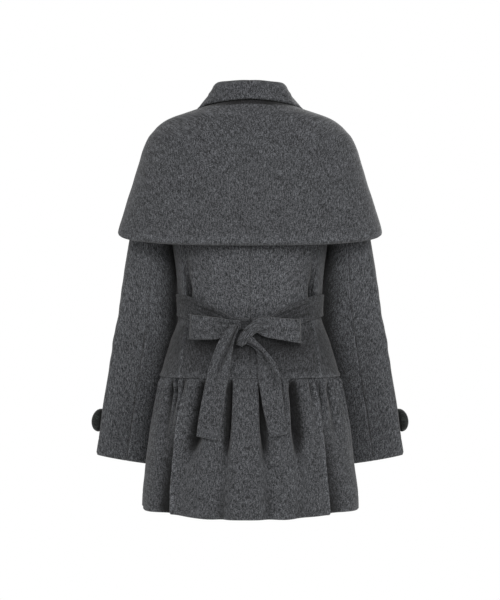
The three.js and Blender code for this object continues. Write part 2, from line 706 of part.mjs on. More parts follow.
// Gathered tier
const tierRows = levelSteps(TIER_LEVELS);
const tierGap = SEAM / 2 / SEAM_RADIUS.tier;
const lapTurn = degrees(12);
const tierBack = tierPart(-QUARTER_TURN + tierGap, QUARTER_TURN - tierGap, false);
const tierLeft = tierPart(QUARTER_TURN + tierGap, HALF_TURN + lapTurn, false);
const tierRight = tierPart(-HALF_TURN - lapTurn, -QUARTER_TURN - tierGap, true);
addPiece('tier_back', wall({ point: tierBack, columns: steps(60), rows: tierRows, settle: keepLevelBoth }));
addPiece('tier_front_left', wall({ point: tierLeft, columns: steps(34), rows: tierRows, settle: keepLevelBoth }));
addPiece('tier_front_right', wall({ point: tierRight, columns: steps(34), rows: tierRows, settle: keepLevelBoth }));

// Cape
const capeRows = [0, CAPE_SHOULDER_PART / 2, CAPE_SHOULDER_PART, 0.16, 0.24, 0.34, 0.46, 0.6, 0.75, 0.9, 1];
const capeSeam = degrees(92);
const capeGap = SEAM / 2 / SEAM_RADIUS.cape;
const capeBack = capePart(-capeSeam + capeGap, capeSeam - capeGap, false);
const capeFront = capePart(capeSeam + capeGap, HALF_TURN, true);
addPiece('cape_back', wall({ point: capeBack, columns: steps(22), rows: capeRows }));
addPiece('cape_front_left', wall({ point: capeFront, columns: steps(10), rows: capeRows }));
addPiece('cape_front_right', wall({ point: capeFront, columns: steps(10), rows: capeRows, mirrored: true }));

// Collar
addPiece('collar', wall({ point: collarPoint, columns: steps(30), rows: steps(7) }));

// Belt and bow
const knotBall = new THREE.SphereGeometry(1, 16, 10);
knotBall.scale(KNOT.halfWidth, KNOT.halfDepth, KNOT.halfHeight);
for (const [side, mirrored] of [['left', false], ['right', true]]) {
  const loop = bowLoop(mirrored ? LOOP_RIGHT : LOOP_LEFT);
  const tail = bowTail(mirrored ? TAIL_RIGHT : TAIL_LEFT);
  const thickness = DOUBLE_WOOL;
  const strap = wall({ point: strapPoint, columns: steps(14), rows: steps(2), thickness, mirrored });
  addPiece(`belt_strap_${side}`, strap, BELTING);
  addPiece(`bow_loop_${side}`, wall({ point: loop, columns: steps(24), rows: steps(3), mirrored }), BELTING);
  addPiece(`bow_tail_${side}`, wall({ point: tail, columns: steps(3), rows: steps(9), thickness, mirrored }), BELTING);
}
const knot = addPiece('belt_knot', knotBall, BELTING);
knot.rotation.y = -KNOT.lean;
knot.position.set(KNOT.x, backSurface(KNOT.x, KNOT.z) + KNOT.off + KNOT.halfDepth, KNOT.z);

// Buttons
const BUTTON_AXIS = new THREE.Vector3(0, 1, 0);
for (const [side, hand] of [['left', 1], ['right', -1]]) {
  const { row, angle } = CUFF_BUTTON;
  const seat = sleevePoint(angle, row);
  const round = sleevePoint(angle + 0.01, row).sub(seat);
  const along = sleevePoint(angle, row + 0.01).sub(seat);
  const outward = along.cross(round).normalize();
  seat.addScaledVector(outward, BUTTON_OFF);
  const button = addPiece(`cuff_button_${side}`, domeButton(CUFF_BUTTON), BUTTON);
  button.position.set(hand * seat.x, seat.y, seat.z);
  button.quaternion.setFromUnitVectors(BUTTON_AXIS, new THREE.Vector3(hand * outward.x, outward.y, outward.z));
}
FRONT_BUTTON.levels.forEach((z, index) => {
  const seat = around(BODY, z, HALF_TURN, LAP_STEP);
  const outward = facing(BODY, seat);
  const button = addPiece(`front_button_${index + 1}`, domeButton(FRONT_BUTTON), BUTTON);
  button.position.copy(seat.addScaledVector(outward, BUTTON_OFF));
  button.quaternion.setFromUnitVectors(BUTTON_AXIS, outward);
});

export default coat;
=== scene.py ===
# %% [markdown]
# # A wool coat with a shoulder cape, seen from behind
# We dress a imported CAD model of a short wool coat: a cape over the shoulders, a fold-over collar, a fitted
# bodice, a belt tied in a bow at the back and a gathered tier below it. The CAD model gives every place and
# size. Each cloth panel is then made again as a much finer sheet, with its hems, creases, gathers and weave.

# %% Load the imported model
import math

import bmesh
import bpy
import numpy as np
from mathutils import Matrix, Vector


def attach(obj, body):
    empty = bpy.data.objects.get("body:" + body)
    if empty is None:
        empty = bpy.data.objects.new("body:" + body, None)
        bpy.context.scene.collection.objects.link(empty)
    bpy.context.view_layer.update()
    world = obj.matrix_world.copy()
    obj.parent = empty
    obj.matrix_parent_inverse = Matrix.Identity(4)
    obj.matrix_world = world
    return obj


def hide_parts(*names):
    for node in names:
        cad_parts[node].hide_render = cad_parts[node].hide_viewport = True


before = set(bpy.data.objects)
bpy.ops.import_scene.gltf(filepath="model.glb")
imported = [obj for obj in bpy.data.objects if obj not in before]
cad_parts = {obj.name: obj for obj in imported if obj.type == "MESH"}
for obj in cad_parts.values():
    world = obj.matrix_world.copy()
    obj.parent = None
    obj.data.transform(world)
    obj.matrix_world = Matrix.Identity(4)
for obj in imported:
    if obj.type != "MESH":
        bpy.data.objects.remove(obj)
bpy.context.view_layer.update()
print("CAD nodes:", len(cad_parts))

# %% [markdown]
# The camera comes first, because it decides what shows. The photograph looks straight at the back of the coat
# from a few metres away, so we use a long lens. A 36 mm sensor spans the taller side of the picture.

# %% Camera behind the coat
VIEW_DISTANCE = 3.5
VIEW_HEIGHT = -0.374
VIEW_TALL = 1.170
SENSOR = 36.0

lens = bpy.data.cameras.new("back_view")
lens.sensor_width = SENSOR
lens.lens = SENSOR * VIEW_DISTANCE / VIEW_TALL
camera = bpy.data.objects.new("back_view", lens)
camera.location = (0.0, VIEW_DISTANCE, VIEW_HEIGHT)
camera.rotation_euler = (math.radians(90), 0.0, math.radians(180))
bpy.context.collection.objects.link(camera)
bpy.context.scene.camera = camera
print("lens in mm:", round(lens.lens, 1))

# %% [markdown]
# The coat floats on white, so the studio is a white world, which lights it softly from everywhere, with large
# lamps for form. The Standard view keeps the colours as they are typed. The pale floor lies where a
# standing wearer's feet would be, below the picture.

# %% Floor, world and soft lamps
scene = bpy.context.scene
scene.view_settings.view_transform = "Standard"
WORLD_LIGHT = 1.0
FLOOR_Z = -1.42


def add(tree, kind, settings=None, links=None):
    """Add a shader node, give it its settings and socket values, and link its inputs."""
    node = tree.nodes.new("ShaderNode" + kind)
    for key, value in (settings or {}).items():
        if isinstance(key, int) or key in node.inputs:
            node.inputs[key].default_value = value
        else:
            setattr(node, key, value)
    for key, source in (links or {}).items():
        tree.links.new(source, node.inputs[key])
    return node


def colour(code):
    """A linear colour from an sRGB hex code."""
    parts = [int(code[i : i + 2], 16) / 255 for i in (1, 3, 5)]
    return (*[c / 12.92 if c <= 0.04045 else ((c + 0.055) / 1.055) ** 2.4 for c in parts], 1.0)


def soft_lamp(name, place, target, size, watts):
    lamp = bpy.data.lights.new(name, "AREA")
    lamp.shape = "SQUARE"
    lamp.size = size
    lamp.energy = watts
    holder = bpy.data.objects.new(name, lamp)
    holder.location = place
    holder.rotation_euler = (Vector(target) - Vector(place)).to_track_quat("-Z", "Y").to_euler()
    bpy.context.collection.objects.link(holder)


world = bpy.data.worlds.new("white_studio")
world.use_nodes = True
world.node_tree.nodes["Background"].inputs["Color"].default_value = (1, 1, 1, 1)
world.node_tree.nodes["Background"].inputs["Strength"].default_value = WORLD_LIGHT
scene.world = world
soft_lamp("over_camera", (-0.5, 3.4, 0.9), (0, 0, -0.4), 1.3, 90)
soft_lamp("back_left", (2.5, 2.5, 0.4), (0, 0, -0.35), 1.3, 18)
soft_lamp("back_right", (-2.5, 2.5, 0.4), (0, 0, -0.35), 1.3, 22)
soft_lamp("front_fill", (-1.0, -3.0, 1.2), (0, 0, -0.3), 2.0, 90)

bm = bmesh.new()
bmesh.ops.create_grid(bm, x_segments=2, y_segments=2, size=2.25)
bmesh.ops.translate(bm, verts=bm.verts, vec=(0, 0, FLOOR_Z))
floor_mesh = bpy.data.meshes.new("floor")
bm.to_mesh(floor_mesh)
bm.free()
floor = bpy.data.objects.new("floor", floor_mesh)
bpy.context.collection.objects.link(floor)
paint = bpy.data.materials.new("matt_white_floor_paint")
paint.use_nodes = True
floor_shader = paint.node_tree.nodes["Principled BSDF"]
floor_shader.inputs["Base Color"].default_value = colour("#e9e9e7")
floor_shader.inputs["Roughness"].default_value = 0.9
floor_mesh.materials.append(paint)
print("lamps and floor ready")

# %% [markdown]
# Wool coating is woven from yarns spun of dark and light fibres, then milled until a short nap hides the
# weave. From a metre away it reads as charcoal with a fine salt-and-pepper mottle. Small cells, each with a
# chance shade of its own, give the tufts of nap. A noise stretched along the warp gives streaks where one
# yarn is darker than the next, and a broad one gives uneven dyeing. Real tufts are under a millimetre wide,
# too fine to show here, so they are drawn at 1.1 mm. Each sheet also carries a number at every point
# that lightens or darkens its colour as painted light and shade: painted shade in folds, creases, gaps and
# under other parts, and painted highlights on ridges and turned edges.

# %% Wool cloths
MM = 0.001
TUFT_WIDE = 1.1 * MM
TUFT_LONG = 1.4 * MM
YARN_WIDE = 1.6 * MM
YARN_LONG = 9 * MM
TUFT_SHADE = 0.64
YARN_SHADE = 1.3
SHADE_SHIFT = -0.47
DARK_STOP, MIDDLE_STOP, LIGHT_STOP = 0.12, 0.5, 0.88
DYE_SCALE = 34.0
DYE_UNEVEN = 0.10


def wool(name, dark, middle, light, sheen, bump):
    """A napped melange wool that follows the piece's own cloth map, which is in metres."""
    cloth_look = bpy.data.materials.new(name)
    cloth_look.use_nodes = True
    tree = cloth_look.node_tree
    shader = tree.nodes["Principled BSDF"]
    shader.inputs["Roughness"].default_value = 0.92
    shader.inputs["Specular IOR Level"].default_value = 0.18
    shader.inputs["Sheen Weight"].default_value = sheen
    shader.inputs["Sheen Roughness"].default_value = 0.55
    lie = add(tree, "UVMap", {"uv_map": "cloth"}).outputs["UV"]
    tuft_place = add(tree, "Mapping", {"Scale": (1 / TUFT_WIDE, 1 / TUFT_LONG, 1)}, {"Vector": lie})
    tufts = add(tree, "TexVoronoi", {"Scale": 1.0}, {"Vector": tuft_place.outputs[0]})
    shade = add(tree, "SeparateColor", {}, {"Color": tufts.outputs["Color"]})
    yarn_place = add(tree, "Mapping", {"Scale": (1 / YARN_WIDE, 1 / YARN_LONG, 1)}, {"Vector": lie})
    yarns = add(tree, "TexNoise", {"Scale": 1.0, "Detail": 2.0}, {"Vector": yarn_place.outputs[0]})
    half_shade = add(
        tree, "Math", {"operation": "MULTIPLY_ADD", 1: TUFT_SHADE, 2: SHADE_SHIFT},
        {0: shade.outputs["Red"]},
    )
    fibres = add(
        tree, "Math", {"operation": "MULTIPLY_ADD", 1: YARN_SHADE},
        {0: yarns.outputs["Fac"], 2: half_shade.outputs["Value"]},
    )
    mottle = add(tree, "ValToRGB", {}, {"Fac": fibres.outputs["Value"]})
    stops = mottle.color_ramp.elements
    stops[0].position = DARK_STOP
    stops[0].color = colour(dark)
    stops[1].position = LIGHT_STOP
    stops[1].color = colour(light)
    stops.new(MIDDLE_STOP).color = colour(middle)
    patches = add(tree, "TexNoise", {"Scale": DYE_SCALE, "Detail": 3.0}, {"Vector": lie})
    uneven = add(
        tree, "MapRange",
        {"From Min": 0.3, "From Max": 0.7, "To Min": 1 - DYE_UNEVEN, "To Max": 1 + DYE_UNEVEN},
        {"Value": patches.outputs["Fac"]},
    )
    # The sheet's painted light and shade brightens or darkens the mottled colour here.
    painted_shading = add(tree, "Attribute", {"attribute_name": "painted_light"})
    painted_and_dyed = add(
        tree, "Math", {"operation": "MULTIPLY_ADD", 1: 1.0},
        {0: painted_shading.outputs["Fac"], 2: uneven.outputs["Result"]},
    )
    tinted = add(
        tree, "VectorMath", {"operation": "SCALE"},
        {0: mottle.outputs["Color"], "Scale": painted_and_dyed.outputs["Value"]},
    )
    tree.links.new(tinted.outputs["Vector"], shader.inputs["Base Color"])
    rough = add(tree, "Bump", {"Strength": bump, "Distance": MM}, {"Height": fibres.outputs[0]})
    tree.links.new(rough.outputs["Normal"], shader.inputs["Normal"])
    return cloth_look


COATING = wool("napped_melange_wool_coating", "#0e0f10", "#2b2c2e", "#4b4c4f", 0.06, 0.12)
BELTING = wool("pressed_melange_wool_belting", "#0e0f10", "#2b2c2e", "#4b4c4f", 0.06, 0.12)
BUTTON_CLOTH = wool("dark_felted_wool_button_cover", "#010101", "#080a09", "#2a2e2c", 0.03, 0.3)
print("wool cloths ready")

# %% [markdown]
# Every panel of a garment is a flat cut bent round the body. We keep the same tables of level sections that
# the CAD model is made from, in millimetres, and read them as smooth curves. A NumPy array holds each column,
# so that a whole sheet of points is read at once.

# %% Tables of sections
WOOL = 2.2
DOUBLE_WOOL = 3.0
SEAM = 0.3
HIP_SEAM_Z = -522
HEM_Z = -785
NECK_SIDE_Z = 2
NECK_BACK_RISE = 8
NECK_FRONT_DROP = 52
PANEL_JOIN_Z = -140
LAP = 28
LAP_STEP = 3.2
LAP_END = 75
HALF_TURN = math.pi
QUARTER_TURN = math.pi / 2


def table(heads, *rows):
    names = heads.split()
    columns = {name: np.array(values, float) for name, values in zip(names, zip(*rows))}
    return {"rows": columns[names[0]], **columns}


def read(sections, column, at):
    """One column of a table as a smooth curve through its rows."""
    knots, values = sections["rows"], sections[column]
    sense = 1 if knots[-1] > knots[0] else -1
    at = np.asarray(at, float)
    i = np.clip(np.searchsorted(sense * knots, sense * at) - 1, 0, len(knots) - 2)
    places = np.arange(len(knots))
    before, after = np.maximum(places - 1, 0), np.minimum(places + 1, len(knots) - 1)
    slope = (values[after] - values[before]) / (knots[after] - knots[before])
    step = knots[i + 1] - knots[i]
    t = np.clip((at - knots[i]) / step, 0, 1)
    bend = step * (t * (1 - t) ** 2 * slope[i] - t * t * (1 - t) * slope[i + 1])
    return values[i] + (values[i + 1] - values[i]) * t * t * (3 - 2 * t) + bend


def mix(start, end, part):
    return start + (end - start) * part


def ease(value, low, high):
    t = np.clip((value - low) / (high - low), 0, 1)
    return t * t * (3 - 2 * t)


def bell(distance, width):
    """A smooth bump, 1 at no distance and almost 0 from two widths away."""
    return np.exp(-((distance / width) ** 2))


BODY = table(
    "z side back front square",
    (12, 58, 57, 50, 2), (2, 65, 63, 54, 2), (-3, 80, 66, 56, 2), (-8, 98, 69, 58, 2),
    (-14, 114, 73, 60, 2), (-23, 137, 79, 64, 2.05), (-35, 157, 86, 69, 2.1), (-47, 169, 93, 75, 2.15),
    (-60, 175, 99, 82, 2.2), (-90, 177, 108, 98, 2.3), (-120, 173, 115, 111, 2.35),
    (-160, 164, 121, 123, 2.4), (-185, 158, 123, 128, 2.4), (-200, 154.3, 123, 129, 2.4),
    (-225, 150.6, 122.5, 127, 2.4), (-267, 150, 121, 122, 2.4), (-316, 144, 117, 115, 2.4),
    (-363, 140, 111, 109, 2.4), (-410, 139.5, 110, 110, 2.4), (-456, 156, 118, 116, 2.35),
    (-522, 174, 130, 126, 2.3),
)
TIER = table(
    "z side back front square",
    (-522, 174, 130, 126, 2.3), (-532, 181, 136, 131, 2.25), (-550, 185, 140, 135, 2.2),
    (-569, 189, 143, 137, 2.2), (-628, 199, 149, 141, 2.2), (-702, 207, 153, 146, 2.2),
    (-745, 212, 155, 149, 2.2), (-785, 214, 156, 151, 2.2),
)
CAPE = table(
    "z side back front square",
    (20, 62, 60, 56, 2), (10, 69, 70, 60, 2), (4, 88, 76, 64, 2), (-2, 105, 80, 68, 2), (-12, 134, 88, 75, 2),
    (-23, 161, 96, 82, 2.05), (-35, 178, 103, 90, 2.1), (-47, 189, 109, 98, 2.2), (-58, 198, 114, 105, 2.25),
    (-82, 209, 121, 117, 2.3), (-105, 216, 127, 127, 2.4), (-129, 224, 131, 134, 2.45),
    (-152, 231, 134, 141, 2.5), (-175, 239, 136, 145, 2.5), (-199, 246, 138, 147, 2.5),
    (-222, 252.5, 140, 149, 2.5), (-240, 256.5, 141, 150, 2.5), (-275, 262, 143, 151, 2.5),
)
CAPE_HEM = table(
    "turn z", (0, -272), (45, -270), (65, -263), (80, -252), (92, -246), (120, -241), (180, -240)
)
CAPE_OPENING = table("z half", (0, 3), (-43, 3), (-120, 15), (-240, 34))
SIDE_SEAM = table("z turn", (-200, 66), (-260, 62.5), (-340, 61), (-416, 60), (-522, 55.5))
print("tables read; the waist is", round(2 * float(read(BODY, "side", -400))), "mm wide")

# %% [markdown]
# A level section of the coat is an oval with squared-off corners. These functions give its edge at any turn
# from the centre back, and find where the neck, the armholes and the side seams cross it.


# %% Round the body
def reach(sections, z, angle):
    """Distance of an oval section's edge from its centre, at an angle from the centre back."""
    depth = np.where(np.cos(angle) > 0, read(sections, "back", z), read(sections, "front", z))
    square = read(sections, "square", z)
    across = np.abs(np.sin(angle)) / read(sections, "side", z)
    along = np.abs(np.cos(angle)) / depth
    return (across**square + along**square) ** (-1 / square)


def at_angle(radius, angle, z):
    return np.stack([radius * np.sin(angle), radius * np.cos(angle), z + 0 * angle], axis=-1)


def around(sections, z, angle, out=0.0):
    return at_angle(reach(sections, z, angle) + out, angle, z)


def depth_at(sections, z, x, face):
    """Distance from the side line to a section's edge, at a distance x from the centre line."""
    square = read(sections, "square", z)
    part = np.minimum(np.abs(x) / read(sections, "side", z), 1)
    return read(sections, face, z) * (1 - part**square) ** (1 / square)


def neck_z(angle):
    turn = np.cos(angle)
    return NECK_SIDE_Z + np.where(turn > 0, NECK_BACK_RISE, -NECK_FRONT_DROP) * turn * turn


def armhole_x(z):
    return mix(168, 154, (z + 44) / -156)


def crossing(value, low, high):
    """Level between two others at which a value changes sign, for a whole array at once."""
    start = np.sign(value(low))
    for _ in range(40):
        middle = (low + high) / 2
        same = np.sign(value(middle)) == start
        low, high = np.where(same, middle, low), np.where(same, high, middle)
    return (low + high) / 2


def beyond_plane(z):
    return read(BODY, "side", z) - armhole_x(z)


ARMHOLE_TOP = float(crossing(beyond_plane, -20.0, -70.0))
ARMHOLE_BOTTOM = float(crossing(beyond_plane, -150.0, -212.0))


def armhole_turn(z, face):
    return np.arctan2(armhole_x(z), depth_at(BODY, z, armhole_x(z), face))


def side_seam_turn(z, face):
    settled = ease(PANEL_JOIN_Z - z, 0, PANEL_JOIN_Z + 200)
    return mix(armhole_turn(PANEL_JOIN_Z, face), np.radians(read(SIDE_SEAM, "turn", z)), settled)


def panel_end(z, face):
    lower = np.where(z > PANEL_JOIN_Z, armhole_turn(z, face), side_seam_turn(z, face))
    return np.where(z >= ARMHOLE_TOP, QUARTER_TURN, lower)


print("armhole from", round(ARMHOLE_TOP), "to", round(ARMHOLE_BOTTOM), "mm")

# %% [markdown]
# A sheet starts as a flat grid, which is the uncut cloth. Its points are moved on to the body, then lifted or
# sunk along the way that the cloth faces, for a seam, a crease or a rolled hem. The distances along its
# threads become the cloth map, so the weave keeps its real size and follows every fold. Where a sheet turns
# to the side its tufts are drawn up to twice as wide, because narrow ones would blur into one flat grey.
# Solidify gives the wall its thickness on the inner side.

# %% A sheet of cloth
SIDE_GRAIN = 0.5
# The deepest painted shade leaves about an eighth of the cloth's colour.
DARKEST_PAINTED_SHADE = -0.88
NEXT_BOLT = 0.37
cuts = {}


class Lie:
    """How a sheet lies: its points, its facing, and the distance of each point from each edge."""

    def __init__(self, u, v, spots, inside_out):
        self.u, self.v = u, v
        self.measure(spots)
        facing = np.cross(np.gradient(spots, axis=1), np.gradient(spots, axis=0))
        facing /= np.maximum(np.linalg.norm(facing, axis=2, keepdims=True), 1e-9)
        self.facing = -facing if inside_out else facing

    def measure(self, spots):
        self.spots = spots
        across = np.linalg.norm(np.diff(spots, axis=1), axis=2)
        down = np.linalg.norm(np.diff(spots, axis=0), axis=2)
        self.left = np.pad(np.cumsum(across, axis=1), ((0, 0), (1, 0)))
        self.top = np.pad(np.cumsum(down, axis=0), ((1, 0), (0, 0)))
        self.right = self.left[:, -1:] - self.left
        self.low = self.top[-1:, :] - self.top


def ripple(spots, size, seed):
    """Slow uneven waves between about -1 and 1, the same on every run."""
    chance = np.random.default_rng(seed)
    total = np.zeros(spots.shape[:2])
    for _ in range(6):
        way = chance.normal(size=3)
        way /= np.linalg.norm(way)
        total += np.sin(spots @ way * 2 * math.pi / size * chance.uniform(0.7, 1.5) + chance.uniform(0, 6.28))
    return total / 3


def seam_dent(distance):
    """A pressed-open seam: the cloth dips at the stitches and swells over the turnings beside them."""
    return -0.5 * bell(distance, 2.4) + 0.5 * bell(distance - 7, 3.5)


def rolled_edge(distance, radius=3.0):
    """A folded edge turns in over its last few millimetres."""
    near = np.clip(1 - distance / radius, 0, 1)
    return -radius * (1 - np.sqrt(1 - near * near)) * 0.8


def groove(distance, depth, width):
    return -depth * bell(distance, width)


def cloth(
    name, across, down, place, relief, look, thickness=WOOL, mirrored=False, inside_out=False, painted_light=None,
    gathered=False,
):
    bm = bmesh.new()
    bmesh.ops.create_grid(bm, x_segments=across, y_segments=down, size=0.5)
    bm.verts.ensure_lookup_table()
    flat = np.array([vert.co[:2] for vert in bm.verts])
    order = np.lexsort((flat[:, 0].round(6), -flat[:, 1].round(6)))
    u = (flat[order, 0] + 0.5).reshape(down + 1, across + 1)
    v = (0.5 - flat[order, 1]).reshape(down + 1, across + 1)
    lie = Lie(u, v, place(u, v), inside_out)
    cuts[name] = (lie.left[:, -1].max() * MM, lie.top[-1].max() * MM)
    # Each point's painted light and shade, never deeper than the deepest painted shade.
    painted_shading = np.maximum(painted_light(lie) if painted_light else 0 * u, DARKEST_PAINTED_SHADE).reshape(-1)
    lie.measure(lie.spots + lie.facing * relief(lie)[..., None])
    hand = np.array([-1 if mirrored else 1, 1, 1])
    spots = (lie.spots * hand).reshape(-1, 3) * MM
    facing = (lie.facing * hand).reshape(-1, 3)
    middle = across // 2
    shift = NEXT_BOLT * len(cuts)
    steps = np.diff(lie.left, axis=1) * np.clip(np.abs(lie.facing[:, 1:, 1]), SIDE_GRAIN, 1)
    warp = np.pad(np.cumsum(steps, axis=1), ((0, 0), (1, 0)))
    warp = warp.mean(axis=0, keepdims=True) + 0 * warp if gathered else warp
    threads = np.stack([(warp - warp[:, middle : middle + 1]) * MM + shift, -lie.top * MM], -1).reshape(-1, 2)
    rank = np.argsort(order)
    painted_layer = bm.verts.layers.float.new("painted_light")
    for vert in bm.verts:
        vert.co = spots[rank[vert.index]]
        vert[painted_layer] = painted_shading[rank[vert.index]]
    chart = bm.loops.layers.uv.new("cloth")
    for face in bm.faces:
        face.smooth = True
        for loop in face.loops:
            loop[chart].uv = threads[rank[loop.vert.index]]
    bm.normal_update()
    agree = sum(face.normal.dot(facing[rank[face.verts[0].index]]) for face in bm.faces)
    if agree < 0:
        bmesh.ops.reverse_faces(bm, faces=bm.faces)
    cuts[name] += (sum(face.calc_area() for face in bm.faces),)
    mesh = bpy.data.meshes.new(name)
    bm.to_mesh(mesh)
    bm.free()
    mesh.materials.append(look)
    piece = bpy.data.objects.new(name, mesh)
    bpy.context.collection.objects.link(piece)
    wall = piece.modifiers.new("wall", "SOLIDIFY")
    wall.thickness = thickness * MM
    wall.offset = -1
    return piece


def stand_for(piece, node):
    """Let a finished sheet ride on the coat in place of its CAD node, with the size of its cut."""
    width, length, area = cuts[piece.name]
    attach(piece, "root")
    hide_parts(node)
    area = min(area, width * length)
    print(f"{piece.name}: cut {width * 1000:.0f} x {length * 1000:.0f} mm, {area * 1e4:.0f} cm2")


SIDES = (("left", False), ("right", True))

# %% [markdown]
# The bodice has a back in two halves, two side panels and two fronts. Neighbours meet edge to edge, because
# the light would shine through a gap at the seam. The seams are pressed open, so each edge dips. The belt
# bunches the cloth above it into a pinch fold on either side of the back, and the panel ends below in the
# hip seam, which swells a little over its turning.


# %% Body panels
def lap_out(x):
    return LAP_STEP * (1 - ease(np.abs(x), LAP + 2, LAP_END))


def body_panel(face, past=0.0, upper=False):
    front = face == "front"

    def turn_at(u, z):
        depth = read(BODY, face, z)
        start = -np.arctan2(past, depth) if front else 0 * depth
        return mix(start, panel_end(z, face), u)

    def place(u, v):
        top = NECK_SIDE_Z + 0 * u
        for _ in range(8):
            turn = turn_at(u, top)
            top = neck_z(HALF_TURN - turn if front else turn)
        z = mix(top, HIP_SEAM_Z, v)
        turn = turn_at(u, z)
        angle = HALF_TURN - turn if front else turn
        spots = around(BODY, z, angle)
        out = lap_out(spots[..., 0]) * (turn < math.radians(50)) if upper else 0
        return around(BODY, z, angle, out)

    return place


PINCH = table(
    "z x depth",
    (-250, 122, 0), (-290, 121, 2), (-325, 120, 5), (-358, 117, 9), (-378, 117, 5), (-400, 117, 0),
)
PINCH_DEEPEST = 9


def hip_edge(lie):
    """The panels end over the tier's turning, which lifts their last few millimetres."""
    return 1.5 * bell(lie.low - 3, 5) + rolled_edge(lie.low, 1.2)


def pinch_fold(lie):
    """The belt bunches the cloth above it: a crease near each side seam, with a soft ridge on both sides."""
    x, y, z = np.moveaxis(lie.spots, -1, 0)
    away, depth = x - read(PINCH, "x", z), read(PINCH, "depth", z) * (y > 0)
    ridges = 0.3 * bell(away + 11, 6) + 0.3 * bell(away - 10, 5)
    return depth * (ridges - bell(away, 4.0))


def side_seam(lie, distance):
    """Pressed flat above the belt; below it the turnings push the seam up into a ridge."""
    below = ease(-lie.spots[..., 2], 400, 430)
    return mix(seam_dent(distance), 1.5 * bell(distance, 2.6), below)


def body_painted_light(lie):
    """Painted light on the middle of the back below the cape, painted shade on the hips, in the pinch folds
    and in the centre seam, painted shadow under the cape hem and the bow, and painted highlights on seam
    edges.
    """
    x, y, z = np.moveaxis(lie.spots, -1, 0)
    x = np.abs(x)
    hip_shade_near_bow = mix(1.25, mix(0.25, 0.9, ease(x, 15, 60)), ease(-z, 462, 500))
    hip_shade = ease(-z, 405, 440) * (1 - ease(-z, 505, 524)) * hip_shade_near_bow
    cape_hem_shadow = (1 - ease(-z, 246, 276)) * ease(-z, 200, 230)
    painted_chest_light = ease(-z, 262, 300) * (1 - ease(-z, 375, 405)) * (1 - ease(x, 70, 112))
    pinch_shade = read(PINCH, "depth", z) / PINCH_DEEPEST * bell(x - read(PINCH, "x", z), 5) * (y > 0)
    bow_shadow = bell(z + 462, 17) * (1 - ease(x, 92, 112))
    painted_shading = 0.19 * painted_chest_light - 0.40 * hip_shade - 0.45 * cape_hem_shadow - 0.8 * pinch_shade - 0.2 * bow_shadow
    # Painted highlights along the side seam ridges below the belt and along the hip seam's edge, painted
    # shade in the centre seam.
    edge = np.minimum(lie.right, np.where(x > 60, lie.left, 1e3))
    painted_shading += 0.62 * ease(-z, 400, 430) * bell(edge, 2.4) - 0.24 * bell(x, 1.5)
    return painted_shading + 0.14 * bell(lie.low, 3)


def back_relief(lie):
    x, z = lie.spots[..., 0], lie.spots[..., 2]
    out = seam_dent(lie.left) + side_seam(lie, lie.right)
    out += pinch_fold(lie)
    out += 1.2 * ripple(lie.spots, 120, 3) * ease(-z, 200, 300)
    out += hip_edge(lie)
    drag = np.sin((z + 0.5 * np.abs(x)) / 9.0) * bell(z + 350, 22) * ease(np.abs(x), 30, 110)
    return out + 0.8 * drag


def front_relief(lie):
    out = seam_dent(lie.right) + rolled_edge(lie.left, 2.5)
    out += hip_edge(lie)
    return out + 0.7 * ripple(lie.spots, 130, 5) * ease(-lie.spots[..., 2], 150, 250)


def side_panel():
    def angle_across(u, z):
        back = side_seam_turn(z, "back")
        front = HALF_TURN - side_seam_turn(z, "front")
        return np.where(u < 0.5, mix(back, QUARTER_TURN, 2 * u), mix(QUARTER_TURN, front, 2 * u - 1))

    def place(u, v):
        def in_hole(z):
            rim = np.where(u < 0.5, armhole_turn(z, "back"), HALF_TURN - armhole_turn(z, "front"))
            return np.where(u < 0.5, angle_across(u, z) - rim, rim - angle_across(u, z))

        top = crossing(in_hole, PANEL_JOIN_Z + 0 * u, ARMHOLE_BOTTOM + 0 * u)
        top = np.where((u < 1e-6) | (u > 1 - 1e-6), PANEL_JOIN_Z, top)
        z = mix(top, HIP_SEAM_Z, v)
        return around(BODY, z, angle_across(u, z))

    return place


def side_relief(lie):
    out = (side_seam(lie, lie.left) + side_seam(lie, lie.right)) * ease(lie.top, 5, 40)
    out += hip_edge(lie) + pinch_fold(lie)
    return out + 0.8 * ripple(lie.spots, 110, 7) * ease(lie.top, 120, 180)


for side, mirrored in SIDES:
    front_place = body_panel("front", past=LAP, upper=mirrored)
    panels = (
        ("back", 72, 170, body_panel("back"), back_relief, body_painted_light),
        ("front", 64, 130, front_place, front_relief, None),
        ("side", 40, 110, side_panel(), side_relief, body_painted_light),
    )
    for part, across, down, place, relief, painted_light in panels:
        piece = cloth(
            f"wool_{part}_{side}", across, down, place, relief, COATING, mirrored=mirrored,
            inside_out=part == "front", painted_light=painted_light,
        )
        stand_for(piece, f"{part}_panel_{side}")

# %% [markdown]
# A coat sleeve is cut in two pieces, a wide top sleeve and a narrow under sleeve, so that it bends with the
# arm. Its section turns from the upright armhole to an oval that hangs out and a little forwards. The
# back seam between the two pieces runs down to the cuff, where the hem is turned in.

# %% Sleeves
SLEEVE = table(
    "row outX outZ inX inZ y lean depth",
    (0, 168, -44, 154, -200, 0, 0, 56), (1, 182, -56, 155.2, -208, 0, 0, 60),
    (2, 195, -84, 155.8, -217, -1, 2, 64), (3, 207, -128, 155.5, -229, -3, 6, 67),
    (4, 219, -180, 153.2, -245, -7, 12, 67), (5, 229, -228, 150.8, -268, -12, 18, 65),
    (6, 239, -290, 144, -308, -18, 24, 62), (7, 249, -348, 139.5, -360, -25, 30, 58),
    (8, 259.5, -410, 141, -420, -33, 35, 54), (9, 270.5, -475, 151, -486, -45, 38, 49),
    (10, 282, -545, 164, -558, -58, 38, 44), (11, 293, -612, 175, -628, -70, 37, 40),
    (12, 303.5, -678.5, 186, -704.5, -80, 35, 37),
)
SLEEVE_ROWS = 12
SLEEVE_BACK_SEAM = math.radians(92)
SLEEVE_FRONT_SEAM = math.radians(-110)


